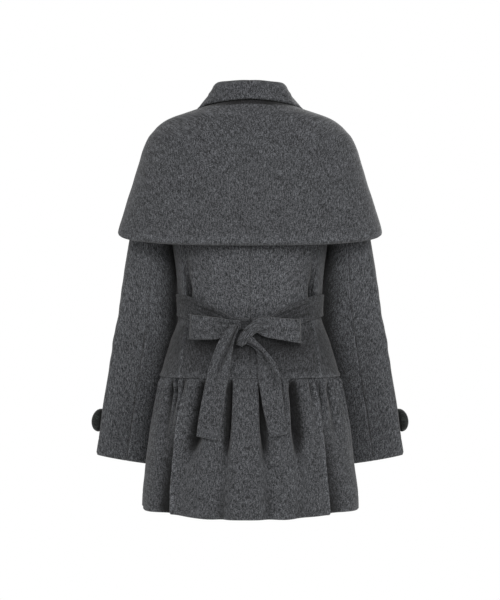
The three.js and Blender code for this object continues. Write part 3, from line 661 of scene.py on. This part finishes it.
def sleeve_point(angle, row):
    def get(column):
        return read(SLEEVE, column, row)

    start = 1 - ease(row, 0, 1)
    out_x = mix(get("outX"), armhole_x(ARMHOLE_TOP), start) + SEAM
    out_z = mix(get("outZ"), ARMHOLE_TOP, start)
    in_x = mix(get("inX"), armhole_x(ARMHOLE_BOTTOM), start) + SEAM
    in_z = mix(get("inZ"), ARMHOLE_BOTTOM, start)
    part = (1 + np.cos(angle)) / 2
    pressed = np.sign(np.sin(angle)) * np.abs(np.sin(angle)) ** 0.8
    oval = get("y") + get("lean") * np.cos(angle) + get("depth") * pressed
    rim_z = mix(ARMHOLE_BOTTOM, ARMHOLE_TOP, part)
    back_rim = depth_at(BODY, rim_z, armhole_x(rim_z), "back")
    front_rim = depth_at(BODY, rim_z, armhole_x(rim_z), "front")
    rim = np.where(np.sin(angle) > 0, back_rim, -front_rim)
    return np.stack([mix(in_x, out_x, part), mix(rim, oval, ease(row, 0, 1.6)), mix(in_z, out_z, part)], -1)


def sleeve_part(from_angle, to_angle):
    return lambda u, v: sleeve_point(mix(to_angle, from_angle, u), v * SLEEVE_ROWS)


def sleeve_relief(seed):
    def relief(lie):
        out = (seam_dent(lie.left) + seam_dent(lie.right)) * ease(lie.top, 10, 60)
        out += 1.5 * ripple(lie.spots, 140, seed) * ease(lie.top, 60, 220) * ease(lie.low, 0, 60)
        elbow = bell(lie.spots[..., 2] + 420, 70)
        out += 1.3 * elbow * ripple(lie.spots * np.array([1, 1, 2.6]), 90, seed + 1)
        return out + rolled_edge(lie.low, 3) + groove(lie.low - 32, 0.35, 2.5)

    return relief


def hem_highlight(lie):
    # A painted highlight along a turned hem.
    return 0.10 * bell(lie.low - 3, 4)


def sleeve_painted_light(lie):
    """Painted light over most of a sleeve, and deep painted shade next to the body."""
    row = lie.v * SLEEVE_ROWS
    inner, outer = read(SLEEVE, "inX", row), read(SLEEVE, "outX", row)
    part = (lie.spots[..., 0] - inner) / (outer - inner)
    sleeve_light_and_shade = 0.16 + 0.34 * bell(part - 0.36, 0.24) - 1.08 * bell(part, 0.16)
    return sleeve_light_and_shade * ease(row, 4.6, 6.2) + hem_highlight(lie)


for side, mirrored in SIDES:
    halves = (
        ("sleeve_top", 84, SLEEVE_FRONT_SEAM, SLEEVE_BACK_SEAM, 11),
        ("sleeve_under", 60, SLEEVE_BACK_SEAM, 2 * HALF_TURN + SLEEVE_FRONT_SEAM, 13),
    )
    for node, across, from_angle, to_angle, seed in halves:
        place = sleeve_part(from_angle, to_angle)
        piece = cloth(
            f"wool_{node}_{side}", across, 150, place, sleeve_relief(seed), COATING, mirrored=mirrored,
            painted_light=sleeve_painted_light,
        )
        stand_for(piece, f"{node}_{side}")

# %% [markdown]
# The lower tier is wider than the hip seam that it is sewn to. The spare width is drawn up in small gathers
# at the seam, which run together into a few deep, soft folds further down. One fold at either side is
# sharp, where the cloth laps over itself. Each fold has its turn round the body at the top and at the hem.

# %% Folds and gathers of the tier
FOLDS = table(
    "turn hem_turn depth wide hem_wide keep inner",
    (37.5, 50, 36, 4.5, 8, 0.2, 1), (15.6, 21, 38, 3.2, 5, 0.32, 0.4), (-8.6, -14, 38, 3.2, 5.5, 0.3, 0.35),
    (-35.2, -36, 38, 3.4, 6.5, 0.26, 1), (63, 61, 9, 4, 6, 0.9, 1), (-63, -63, 9, 4, 6, 0.9, 1),
    (88, 86, 12, 5, 6, 0.7, 1), (-91, -89, 12, 5, 6, 0.7, 1), (113, 115, 13, 5, 6, 0.6, 1),
    (-116, -113, 12, 5, 6, 0.6, 1), (137, 134, 14, 5, 6, 0.6, 1), (-140, -139, 14, 5, 6, 0.6, 1),
    (157, 156, 11, 5, 6, 0.6, 1), (-155, -158, 11, 5, 6, 0.6, 1),
)
FOLD_FADE = table(
    "z fold", (-522, 0), (-528, 0.35), (-540, 0.85), (-560, 1), (-604, 1), (-638, 0.6), (-675, 0.25),
    (-785, 0),
)
GATHER_FADE = table(
    "z gather", (-522, 0.35), (-530, 0.9), (-545, 1), (-568, 0.6), (-600, 0.25), (-650, 0.06), (-785, 0)
)
SHARP = ((51.5, 53.5, 1), (-49.8, -52, -1))
FLAT_FRONT = math.radians(13)
HEM_RISE = 7
HEM_RISE_FROM = math.radians(22)
HEM_RISE_TO = math.radians(62)


def wrapped(turn):
    return np.arctan2(np.sin(turn), np.cos(turn))


def gathers(angle, z):
    """The small uneven tucks under the seam, from 0 on a ridge to about 1 in a hollow."""
    phase = angle * 66 + 2.2 * np.sin(angle * 9 + 0.6) + 1.4 * np.sin(angle * 23 + 2)
    middle = ease(np.abs(np.degrees(wrapped(angle))), 9, 24)
    uneven = 0.62 + 0.38 * np.sin(angle * 13 + 1)
    small = ((1 - np.cos(phase)) / 2) ** 2 + 0.4 * ((1 - np.cos(phase * 1.9 + 1)) / 2) ** 2
    return small * uneven * mix(0.2, 1, middle) * read(GATHER_FADE, "gather", z)


def laps(angle, z):
    """Where the cloth laps over itself: how far past the edge it has dropped, and the ridge at the edge."""
    dropped, ridge = 0, 0
    for turn, hem_turn, hand in SHARP:
        beyond = np.degrees(wrapped(angle - np.radians(mix(turn, hem_turn, ease(-z, 560, 785))))) * hand
        dropped = dropped + ease(beyond, 0, 1.2) * (1 - ease(beyond, 2, 15)) * ease(-z, 524, 552)
        ridge = ridge + bell(beyond + 0.6, 1.3) * ease(-z, 524, 552)
    return dropped, ridge


def tier_drawn_in(angle, z):
    down = ease(-z, 560, 785)
    fade = read(FOLD_FADE, "fold", z)
    drawn = 0 * angle
    for turn, hem_turn, depth, wide, hem_wide, keep, inner in zip(*[FOLDS[key] for key in list(FOLDS)[1:]]):
        away = wrapped(angle - np.radians(mix(turn, hem_turn, down))) / np.radians(mix(wide, hem_wide, down))
        away = away / np.where(away * turn < 0, mix(inner, 1, down), 1)
        drawn += depth * np.exp(-away * away) * mix(fade, keep * ease(-z, 530, 560), ease(-z, 640, 785))
    drop, lip = laps(angle, z)
    drawn += 13 * drop * mix(0.45, 1, ease(-z, 570, 690)) - 2.8 * lip
    drawn += 11 * gathers(angle, z)
    return drawn * ease(HALF_TURN - np.abs(wrapped(angle)), FLAT_FRONT, 2 * FLAT_FRONT)


def tier_part(from_angle, to_angle, upper=False):
    def place(u, v):
        angle = mix(from_angle, to_angle, u)
        z = mix(HIP_SEAM_Z - SEAM, HEM_Z + HEM_RISE * ease(np.abs(angle), HEM_RISE_FROM, HEM_RISE_TO), v)
        out = 0
        if upper:
            spots = around(TIER, z, angle)
            out = lap_out(spots[..., 0]) * (spots[..., 1] < 0)
        return around(TIER, z, angle, out - tier_drawn_in(angle, z))

    return place


def tier_relief(lie):
    out = 1.6 * ripple(lie.spots, 170, 17) * ease(lie.top, 60, 180)
    return out + rolled_edge(lie.low, 3) + groove(lie.low - 28, 0.3, 2.5)


def tier_painted_light(lie):
    """Painted shade in the folds and gathers and beside each lap, and a painted highlight on each lap's
    ridge.
    """
    x, y, z = np.moveaxis(lie.spots, -1, 0)
    angle = np.arctan2(x, y)
    drawn = tier_drawn_in(angle, z)
    dropped, ridge = laps(angle, z)
    painted_shading = 0.02 - 0.86 * ease(drawn, 5, 18) - 0.7 * ease(gathers(angle, z), 0.2, 0.9)
    turn = np.abs(np.degrees(angle))
    # A little painted shade on the sides of the tier.
    painted_shading -= 0.03 * ease(turn, 53, 57) * (1 - ease(turn, 95, 125)) * ease(-z, 530, 560)
    return painted_shading + 0.38 * ridge - 0.2 * dropped * ease(-z, 590, 700) + hem_highlight(lie)


lap_turn = math.radians(12)
tier_cuts = (
    ("tier_back", 400, -QUARTER_TURN, QUARTER_TURN, False),
    ("tier_front_left", 150, QUARTER_TURN, HALF_TURN + lap_turn, False),
    ("tier_front_right", 150, -HALF_TURN - lap_turn, -QUARTER_TURN, True),
)
for node, across, from_angle, to_angle, upper in tier_cuts:
    place = tier_part(from_angle, to_angle, upper)
    piece = cloth(f"wool_{node}", across, 92, place, tier_relief, COATING, painted_light=tier_painted_light, gathered=True)
    stand_for(piece, node)

# %% [markdown]
# The cape is one back and two fronts, joined over the shoulders and sewn into the neck seam under the collar.
# It is cut as part of a circle, so it hangs almost without folds. Its hem is turned up and stitched,
# which makes a soft, thick band that catches the light, and a painted highlight runs along it.

# %% Cape
CAPE_NECK_RISE = 7
SHOULDER_PART = 0.1


def neck_reach(angle):
    return reach(BODY, neck_z(angle), angle)


def cape_part(from_angle, to_angle, open_front=False):
    def hem_z(angle):
        return read(CAPE_HEM, "z", np.abs(np.degrees(angle)))

    def place(u, v):
        angle = mix(from_angle, to_angle, u)
        z = 0 * u
        for _ in range(6):
            z = mix(neck_z(angle) + CAPE_NECK_RISE, hem_z(angle), v)
            if open_front:
                half = read(CAPE_OPENING, "half", z)
                edge = HALF_TURN - np.arctan2(half, depth_at(CAPE, z, half, "front"))
                angle = mix(from_angle, edge, u)
        shoulder_z = mix(neck_z(angle) + CAPE_NECK_RISE, hem_z(angle), SHOULDER_PART)
        near = neck_reach(angle) + 3 * SEAM + WOOL
        shoulder = mix(near, reach(CAPE, shoulder_z, angle), v / SHOULDER_PART)
        return at_angle(np.where(v < SHOULDER_PART, shoulder, reach(CAPE, z, angle)), angle, z)

    return place


def cape_relief(lie):
    out = 1.7 * ripple(lie.spots, 190, 23) * ease(lie.top, 30, 120) * ease(lie.low, 0, 40)
    side = np.minimum(lie.left, lie.right)
    band = ease(side, 20, 90)
    out += 2.4 * band * bell(lie.low - 9, 8) + rolled_edge(lie.low, mix(9, 4, band))
    return out + seam_dent(side) * ease(lie.top, 5, 30)


# The painted shadow under the collar on the cape, at each turn: a top level, and how deep below it the shadow
# starts.
COLLAR_SHADE = table("turn top deep", (0, 7.5, 6.5), (35, 6, 6.8), (62, 3.5, 2.6), (90, 2, 0), (180, 2, 0))


def cape_painted_light(lie):
    """A painted highlight along the turned-up hem, painted shadow on the cape's neck under the collar, and
    painted shade where the shoulders turn to the side.
    """
    x, y, z = np.moveaxis(lie.spots, -1, 0)
    turn = np.abs(np.degrees(np.arctan2(x, y)))
    deep = read(COLLAR_SHADE, "deep", turn)
    collar_shadow = ease(z - read(COLLAR_SHADE, "top", turn) + deep, -1, 0.6) * ease(deep, 0, 1.5)
    wave = 1.5 * np.sin(lie.left / 23) + 1.0 * np.sin(lie.left / 7.3)
    # Painted shade where the cape's shoulders turn to the side.
    shoulder = ease(z, -22, -8) * (1 - ease(np.abs(lie.facing[..., 1]), 0.15, 0.5))
    return 0.22 * bell(lie.low - 9 + wave, 7) - 0.93 * collar_shadow - 0.25 * shoulder


cape_seam = math.radians(92)
piece = cloth(
    "wool_cape_back", 200, 130, cape_part(-cape_seam, cape_seam), cape_relief, COATING,
    painted_light=cape_painted_light,
)
stand_for(piece, "cape_back")
for side, mirrored in SIDES:
    place = cape_part(cape_seam, HALF_TURN, open_front=True)
    piece = cloth(
        f"wool_cape_front_{side}", 80, 110, place, cape_relief, COATING, mirrored=mirrored, painted_light=cape_painted_light
    )
    stand_for(piece, f"cape_front_{side}")

# %% [markdown]
# The collar is one shaped strip, sewn into the neck seam. It stands up, rolls over and falls back almost to
# the cape, which leaves a thin gap under its edge, darkened by painted shadow on the cape. Seven points give
# its profile at each turn round the neck, and a smooth curve runs through them.

# %% Collar
COLLAR = table(
    "turn stand edge_z lift",
    (0, 36, 10.5, 6.5), (35, 38.5, 7.5, 6), (62, 42, 4.5, 4), (78, 39.5, 3.6, 3), (90, 37, 3, 2.5),
    (115, 35, -14, 4.5), (135, 30, -45, 4.5), (155, 26, -80, 4.5), (168, 24, -90, 4.5), (176, 23, -76, 4.5),
)
COLLAR_END = math.radians(176)
COLLAR_OFF = 0.8


def collar_place(u, v):
    angle = mix(-COLLAR_END, COLLAR_END, u)
    turn = np.abs(np.degrees(angle))
    stand, edge_z = read(COLLAR, "stand", turn), read(COLLAR, "edge_z", turn)
    near = neck_reach(angle) - WOOL
    foot = neck_z(angle) + COLLAR_OFF
    edge_r = reach(CAPE, edge_z, angle) + read(COLLAR, "lift", turn)
    roll_r, roll_z = near + 16 - 4 * ease(turn, 40, 85), foot + stand - 6
    half_r, half_z = mix(roll_r, edge_r, 0.5) + 0.8, mix(roll_z, edge_z, 0.5)
    radii = [near, near + 0.5, near + 2.5, near + 8.5, roll_r, half_r, edge_r]
    levels = [foot, foot + stand * 0.5, foot + stand * 0.9, foot + stand, roll_z, half_z, edge_z]
    return at_angle(through(radii, v), angle, through(levels, v))


def through(values, part):
    """A smooth curve through evenly spaced values, one curve for each column of the sheet."""
    last = len(values) - 1
    total = 0 * part
    for k in range(last):
        before, start, end, after = values[max(k - 1, 0)], values[k], values[k + 1], values[min(k + 2, last)]
        t = part * last - k
        inside = (t >= 0) & ((t < 1) | (k == last - 1))
        leave, arrive = (end - before) / 2, (after - start) / 2
        bend = t * (1 - t) ** 2 * leave - t * t * (1 - t) * arrive
        total = np.where(inside, mix(start, end, t * t * (3 - 2 * t)) + bend, total)
    return total


def collar_relief(lie):
    out = 0.7 * ripple(lie.spots, 90, 29) * ease(lie.top, 20, 40)
    out += 0.9 * bell(lie.low - 5, 4) + rolled_edge(lie.low, 3)
    out += groove(lie.low - 10, 0.35, 1.6)
    middle = np.abs(lie.left - lie.left[:, -1:] / 2)
    out += groove(middle, 0.5, 1.8) * ease(lie.top, 60, 70)
    return out + rolled_edge(lie.left) + rolled_edge(lie.right)


def collar_painted_light(lie):
    # A painted highlight along the collar's edge, and painted shade where it turns to the side.
    side = ease(lie.low, 0, 6) * (1 - ease(np.abs(lie.facing[..., 1]), 0.15, 0.6))
    return 0.10 * bell(lie.low - 3, 3) - 0.22 * side


piece = cloth("wool_collar", 300, 56, collar_place, collar_relief, COATING, painted_light=collar_painted_light)
stand_for(piece, "collar")

# %% [markdown]
# The belt is two straps of doubled cloth, sewn into the front side seams and tied behind. Tying creases each
# strap lengthwise, and the creases run together towards the knot, where the strap is narrowest.

# %% Belt straps
STRAP = table(
    "turn top bottom",
    (1, -408, -431), (16, -407, -430), (29, -393, -427), (42, -380, -421), (61, -365, -410), (90, -363, -405),
    (118, -363, -404),
)
STRAP_OFF = 1.7
STRAP_START, STRAP_END = 1.0, 118.0
STRAP_CREASES = ((0.30, 0.16, 2.4), (0.55, 0.38, 2.2), (0.74, 0.62, 1.8), (0.42, 0.80, 1.4))


def strap_line(start, end, turn):
    """Where a crease runs across the strap, from the knot to where it dies out."""
    return mix(start, end, ease(turn, 8, 75)) + 0.02 * np.sin(turn / 6)


def strap_place(u, v):
    turn = mix(STRAP_START, STRAP_END, u)
    z = mix(read(STRAP, "top", turn), read(STRAP, "bottom", turn), v)
    return around(BODY, z, np.radians(turn), STRAP_OFF + DOUBLE_WOOL)


def strap_relief(lie):
    turn = mix(STRAP_START, STRAP_END, lie.u)
    near = 1 - ease(turn, 20, 80)
    out = 0 * lie.u
    for start, end, depth in STRAP_CREASES:
        line = strap_line(start, end, turn)
        out -= depth * mix(0.25, 1.0, near) * bell(lie.v - line, mix(0.05, 0.075, near))
    out += 1.6 * near * np.sin(lie.v * 3.14)
    return out + rolled_edge(lie.top, 2) + rolled_edge(lie.low, 2) + 0.5 * ripple(lie.spots, 60, 31)


def strap_painted_light(lie):
    """The straps are painted darker than the bow all along, with painted shade in each crease near the knot.
    """
    turn = mix(STRAP_START, STRAP_END, lie.u)
    painted_shading = -0.36 + 0 * lie.u
    for start, end, depth in STRAP_CREASES:
        line = strap_line(start, end, turn)
        painted_shading -= 0.12 * depth * (1 - ease(turn, 40, 85)) * bell(lie.v - line, 0.055)
    return painted_shading


for side, mirrored in SIDES:
    piece = cloth(
        f"wool_belt_strap_{side}", 170, 26, strap_place, strap_relief, BELTING, DOUBLE_WOOL, mirrored,
        painted_light=strap_painted_light,
    )
    stand_for(piece, f"belt_strap_{side}")

# %% [markdown]
# The bow is the rest of the same doubled strip: two loops pressed flat, a wrap over their middle, and two
# tails that hang over the gathered tier. Each is a ribbon with two long edges, which we give as rows of
# points on the back of the coat, with how far each edge stands off it.

# %% Bow loops
LOOP_OFF = 7.4
LOOP_FOLLOW = 0.62
LOOP_SWELL = 6
LOOP_LEFT = table("x top bottom", (17.5, -413, -428), (38, -411, -438), (62, -407, -447), (115, -401, -448))
LOOP_RIGHT = table("x top bottom", (4.2, -414, -430), (26, -406, -442), (60, -408, -449), (97, -411, -455))


def back_surface(x, z):
    over_tier = ease(-z, 505, 540)
    return mix(depth_at(BODY, z, x, "back"), depth_at(TIER, z, x, "back"), over_tier)


def loop_place(sections):
    start, end = sections["rows"][0], sections["rows"][-1]

    def place(u, v):
        along = 2 * u - 1
        part = np.abs(along)
        x = end - (end - start) * part**1.6
        z = mix(read(sections, "top", x), read(sections, "bottom", x), v)
        parted = WOOL + 1 + LOOP_SWELL * 2 * np.sin(HALF_TURN * part**0.7)
        out = np.where(along > 0, 0, parted * ease(part, 0, 0.14))
        return np.stack([x, back_surface(x * LOOP_FOLLOW, z) + LOOP_OFF + out, z], -1)

    return place


def loop_painted_light(creases, shade):
    """Painted shade in the creases of a loop, and the whole loop painted darker or lighter, most of all near
    the knot.
    """

    def painted_light(lie):
        part = np.clip(1 - 2 * lie.u, 0, 1) ** 1.6
        painted_shading = shade * (0.4 + 0.6 * part)
        for start, end, depth, extent in creases:
            line = mix(end, start, part)
            away = (lie.v - line) / mix(0.10, 0.05, part)
            painted_shading = painted_shading - 0.09 * depth * ease(part, 1 - extent, 1) * np.exp(-away * away)
        return painted_shading

    return painted_light


def loop_relief(creases, flat_end):
    """Creases fan out from the knot on the outer layer, each as its start and end across, depth and reach."""

    def relief(lie):
        outer = ease(1 - 2 * lie.u, 0.02, 0.12)
        part = np.clip(1 - 2 * lie.u, 0, 1) ** 1.6
        out = 0 * lie.u
        for start, end, depth, extent in creases:
            line = mix(end, start, part)
            width = mix(0.13, 0.06, part)
            out -= depth * ease(part, 1 - extent, 1) * bell(lie.v - line, width)
        out += 1.2 * ripple(lie.spots, 70, flat_end)
        return outer * out + rolled_edge(lie.top, 2.2) + rolled_edge(lie.low, 2.2)

    return relief


LEFT_CREASES = ((0.35, 0.1, 3.4, 0.75), (0.62, 0.62, 4.2, 0.8), (0.85, 0.95, 2.2, 0.6))
RIGHT_CREASES = ((0.80, 0.20, 6.0, 0.72), (0.35, 0.1, 2.4, 0.75), (0.95, 1.0, 2.6, 0.5))
# The left loop is painted darker and the right one painted lighter.
for side, mirrored, sections, creases, seed, shade in (
    ("left", False, LOOP_LEFT, LEFT_CREASES, 41, -0.16),
    ("right", True, LOOP_RIGHT, RIGHT_CREASES, 43, 0.16),
):
    piece = cloth(
        f"wool_bow_loop_{side}", 170, 34, loop_place(sections), loop_relief(creases, seed), BELTING,
        mirrored=mirrored, painted_light=loop_painted_light(creases, shade),
    )
    stand_for(piece, f"bow_loop_{side}")

# %% [markdown]
# The tails come from under the knot and rest on the tier. The left one has a crease down its upper half. The
# right one's outer edge is turned over at the top, as a strip that narrows and dies out further down.

# %% Bow tails
TAIL_LEFT = table(
    "row out_x out_z in_x in_z off",
    (0, 38, -421, 20, -420, 22), (1, 53, -441, 29, -444, 24), (2, 66, -466, 33, -474, 15),
    (3, 80, -508, 38, -507, 8.5), (4, 87, -540, 44.5, -541, 8.5), (5, 92.5, -570, 49, -574, 8.5),
    (6, 97.5, -601, 53, -605, 8), (7, 101, -629, 59, -638, 7.5),
)
TAIL_RIGHT = table(
    "row out_x out_z in_x in_z off",
    (0, 4, -443, -12, -455, 12), (1, 21, -460, 3, -461, 11.5), (2, 38, -479, 12.5, -473, 10.5),
    (3, 51, -500, 13.8, -502, 9.5), (4, 57, -524, 16, -526, 8.5), (5, 61.5, -551, 20.5, -553, 8.5),
    (6, 64, -579, 25.5, -582, 8), (7, 70, -625, 37, -630, 7.5),
)


def tail_place(sections):
    last = sections["rows"][-1]

    def place(u, v):
        row = v * last
        x = mix(read(sections, "in_x", row), read(sections, "out_x", row), u)
        z = mix(read(sections, "in_z", row), read(sections, "out_z", row), u)
        return np.stack([x, back_surface(x, z) + read(sections, "off", row), z], -1)

    return place


def tail_ends(lie):
    """The sewn edges roll in, and a line of stitches lies just above the end."""
    out = rolled_edge(lie.left, 2) + rolled_edge(lie.right, 2) + rolled_edge(lie.low, 2)
    return out + groove(lie.low - 7, 0.9, 1.5) + 0.8 * ripple(lie.spots, 80, 47)


def left_crease(lie):
    return mix(0.16, 0.56, ease(lie.v, 0.1, 0.5))


def turned_strip(lie):
    """The turned-over strip of the right tail reaches from its outer edge to this part of its width."""
    return mix(0.30, 0.80, ease(lie.v, 0.02, 0.55))


def left_tail_relief(lie):
    fade = 1 - ease(lie.v, 0.30, 0.62)
    line = left_crease(lie)
    out = -8.5 * fade * bell(lie.u - line, 0.12) + 2.5 * fade * np.sin(lie.u * 3.14)
    return out + tail_ends(lie)


def right_tail_relief(lie):
    strip = turned_strip(lie)
    fade = 1 - ease(lie.v, 0.5, 0.75)
    step = ease(lie.u, strip - 0.02, strip + 0.09)
    return (7.0 * step - 3.0) * fade + tail_ends(lie)


def right_tail_painted_light(lie):
    """Painted shade in the hollow beside the turned-over strip and on the part behind it, and a painted
    highlight along the end.
    """
    strip = turned_strip(lie)
    hollow = bell(lie.u - strip + 0.10, 0.12) * (1 - ease(lie.v, 0.45, 0.7))
    behind = ease(strip - lie.u, 0, 0.12) * (1 - ease(lie.v, 0.3, 0.6))
    return -0.4 * hollow - 0.26 * behind + 0.12 * bell(lie.low, 5)


def left_tail_painted_light(lie):
    # Painted shade in the crease, and a painted highlight along the end.
    line = left_crease(lie)
    crease = bell(lie.u - line, 0.11) * (1 - ease(lie.v, 0.3, 0.55))
    return -0.55 * crease + 0.12 * bell(lie.low, 5)


for side, mirrored, sections, relief, painted_light in (
    ("left", False, TAIL_LEFT, left_tail_relief, left_tail_painted_light),
    ("right", True, TAIL_RIGHT, right_tail_relief, right_tail_painted_light),
):
    place = tail_place(sections)
    piece = cloth(f"wool_bow_tail_{side}", 40, 150, place, relief, BELTING, DOUBLE_WOOL, mirrored, painted_light=painted_light)
    stand_for(piece, f"bow_tail_{side}")

# %% [markdown]
# The knot is the strip's own wrap. It comes out of the top of the right loop, crosses the middle on a slant
# and tucks under at its lower left. A short ribbon with a high, creased crown makes it.

# %% Knot
WRAP = table(
    "row out_x out_z in_x in_z off",
    (0, -30, -408, -27, -428, 13), (1, -17, -411, -19, -434, 17), (2, -2, -417, -8.5, -438, 20),
    (3, 12.5, -431, 2, -449, 20.5), (4, 22.5, -446, 8.5, -457, 17), (5, 26.5, -458, 15, -462, 11),
)


def wrap_place(u, v):
    row = v * WRAP["rows"][-1]
    x = mix(read(WRAP, "in_x", row), read(WRAP, "out_x", row), u)
    z = mix(read(WRAP, "in_z", row), read(WRAP, "out_z", row), u)
    crown = 5.5 * np.sin(HALF_TURN * u) ** 0.7 - 3.5
    return np.stack([x, back_surface(x, z) + read(WRAP, "off", row) + crown, z], -1)


def wrap_relief(lie):
    out = 0 * lie.u
    for line, depth, width in ((0.36, 2.0, 0.07), (0.66, 1.6, 0.06)):
        out -= depth * bell(lie.u - line - 0.12 * np.sin(lie.v * 4), width)
    return out


piece = cloth("wool_belt_knot", 36, 60, wrap_place, wrap_relief, BELTING, DOUBLE_WOOL)
stand_for(piece, "belt_knot")

# %% [markdown]
# Each button is a domed core under stretched dark cloth. A lathe is the natural tool: half an outline, spun
# round its axis. The cloth map runs round and along it, so the cover's mottle keeps its real size.

# %% Buttons
CUFF_BUTTON = {"radius": 23, "height": 19, "row": 11, "angle": math.radians(-12)}
FRONT_BUTTON = {"radius": 14, "height": 9, "levels": (-124, -213, -302, -391, -480)}
BUTTON_OFF = 0.8
BUTTON_STEPS = 72
DOME = (
    (0, 0), (0.80, 0), (0.93, 0.03), (0.985, 0.1), (1, 0.2), (0.985, 0.33), (0.94, 0.48), (0.86, 0.62),
    (0.75, 0.74), (0.61, 0.85), (0.45, 0.93), (0.28, 0.98), (0.12, 0.997), (0, 1),
)


def dome_button(node, size, seat, outward):
    bm = bmesh.new()
    verts = [bm.verts.new((r * size["radius"] * MM, 0, h * size["height"] * MM)) for r, h in DOME]
    edges = [bm.edges.new(pair) for pair in zip(verts, verts[1:])]
    bmesh.ops.spin(
        bm, geom=verts + edges, cent=(0, 0, 0), axis=(0, 0, 1), angle=2 * math.pi, steps=BUTTON_STEPS,
        use_merge=True,
    )
    bmesh.ops.remove_doubles(bm, verts=bm.verts, dist=1e-6)
    bmesh.ops.recalc_face_normals(bm, faces=bm.faces)
    chart = bm.loops.layers.uv.new("cloth")
    bm.verts.layers.float.new("painted_light")
    for face in bm.faces:
        face.smooth = True
        for loop in face.loops:
            loop[chart].uv = (loop.vert.co.x + 0.3 * loop.vert.co.z, loop.vert.co.y)
    turn = Vector((0, 0, 1)).rotation_difference(Vector(outward)).to_matrix().to_4x4()
    place = Matrix.Translation(Vector(seat + outward * BUTTON_OFF) * MM)
    bmesh.ops.transform(bm, verts=bm.verts, matrix=place @ turn)
    mesh = bpy.data.meshes.new(f"cloth_{node}")
    bm.to_mesh(mesh)
    bm.free()
    mesh.materials.append(BUTTON_CLOTH)
    piece = bpy.data.objects.new(f"cloth_{node}", mesh)
    bpy.context.collection.objects.link(piece)
    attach(piece, "root")
    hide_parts(node)


def unit(vector):
    return vector / np.linalg.norm(vector)


def cuff_seat():
    row, angle = CUFF_BUTTON["row"], CUFF_BUTTON["angle"]
    seat = sleeve_point(angle, row)
    across = sleeve_point(angle + 0.01, row) - seat
    along = sleeve_point(angle, row + 0.01) - seat
    return seat, unit(np.cross(along, across))


for side, mirrored in SIDES:
    seat, outward = cuff_seat()
    flip = np.array([-1 if mirrored else 1, 1, 1])
    dome_button(f"cuff_button_{side}", CUFF_BUTTON, seat * flip, outward * flip)
for index, z in enumerate(FRONT_BUTTON["levels"]):
    level = np.array(float(z))
    seat = around(BODY, level, HALF_TURN, LAP_STEP)
    rise = around(BODY, level + 1, HALF_TURN) - around(BODY, level - 1, HALF_TURN)
    outward = unit(np.cross(rise, np.array([-1.0, 0, 0])))
    dome_button(f"front_button_{index + 1}", FRONT_BUTTON, seat, outward)
print("buttons made:", 2 + len(FRONT_BUTTON["levels"]))

# %% [markdown]
# Last comes a closing message.

# %% Finish
print("scene built")
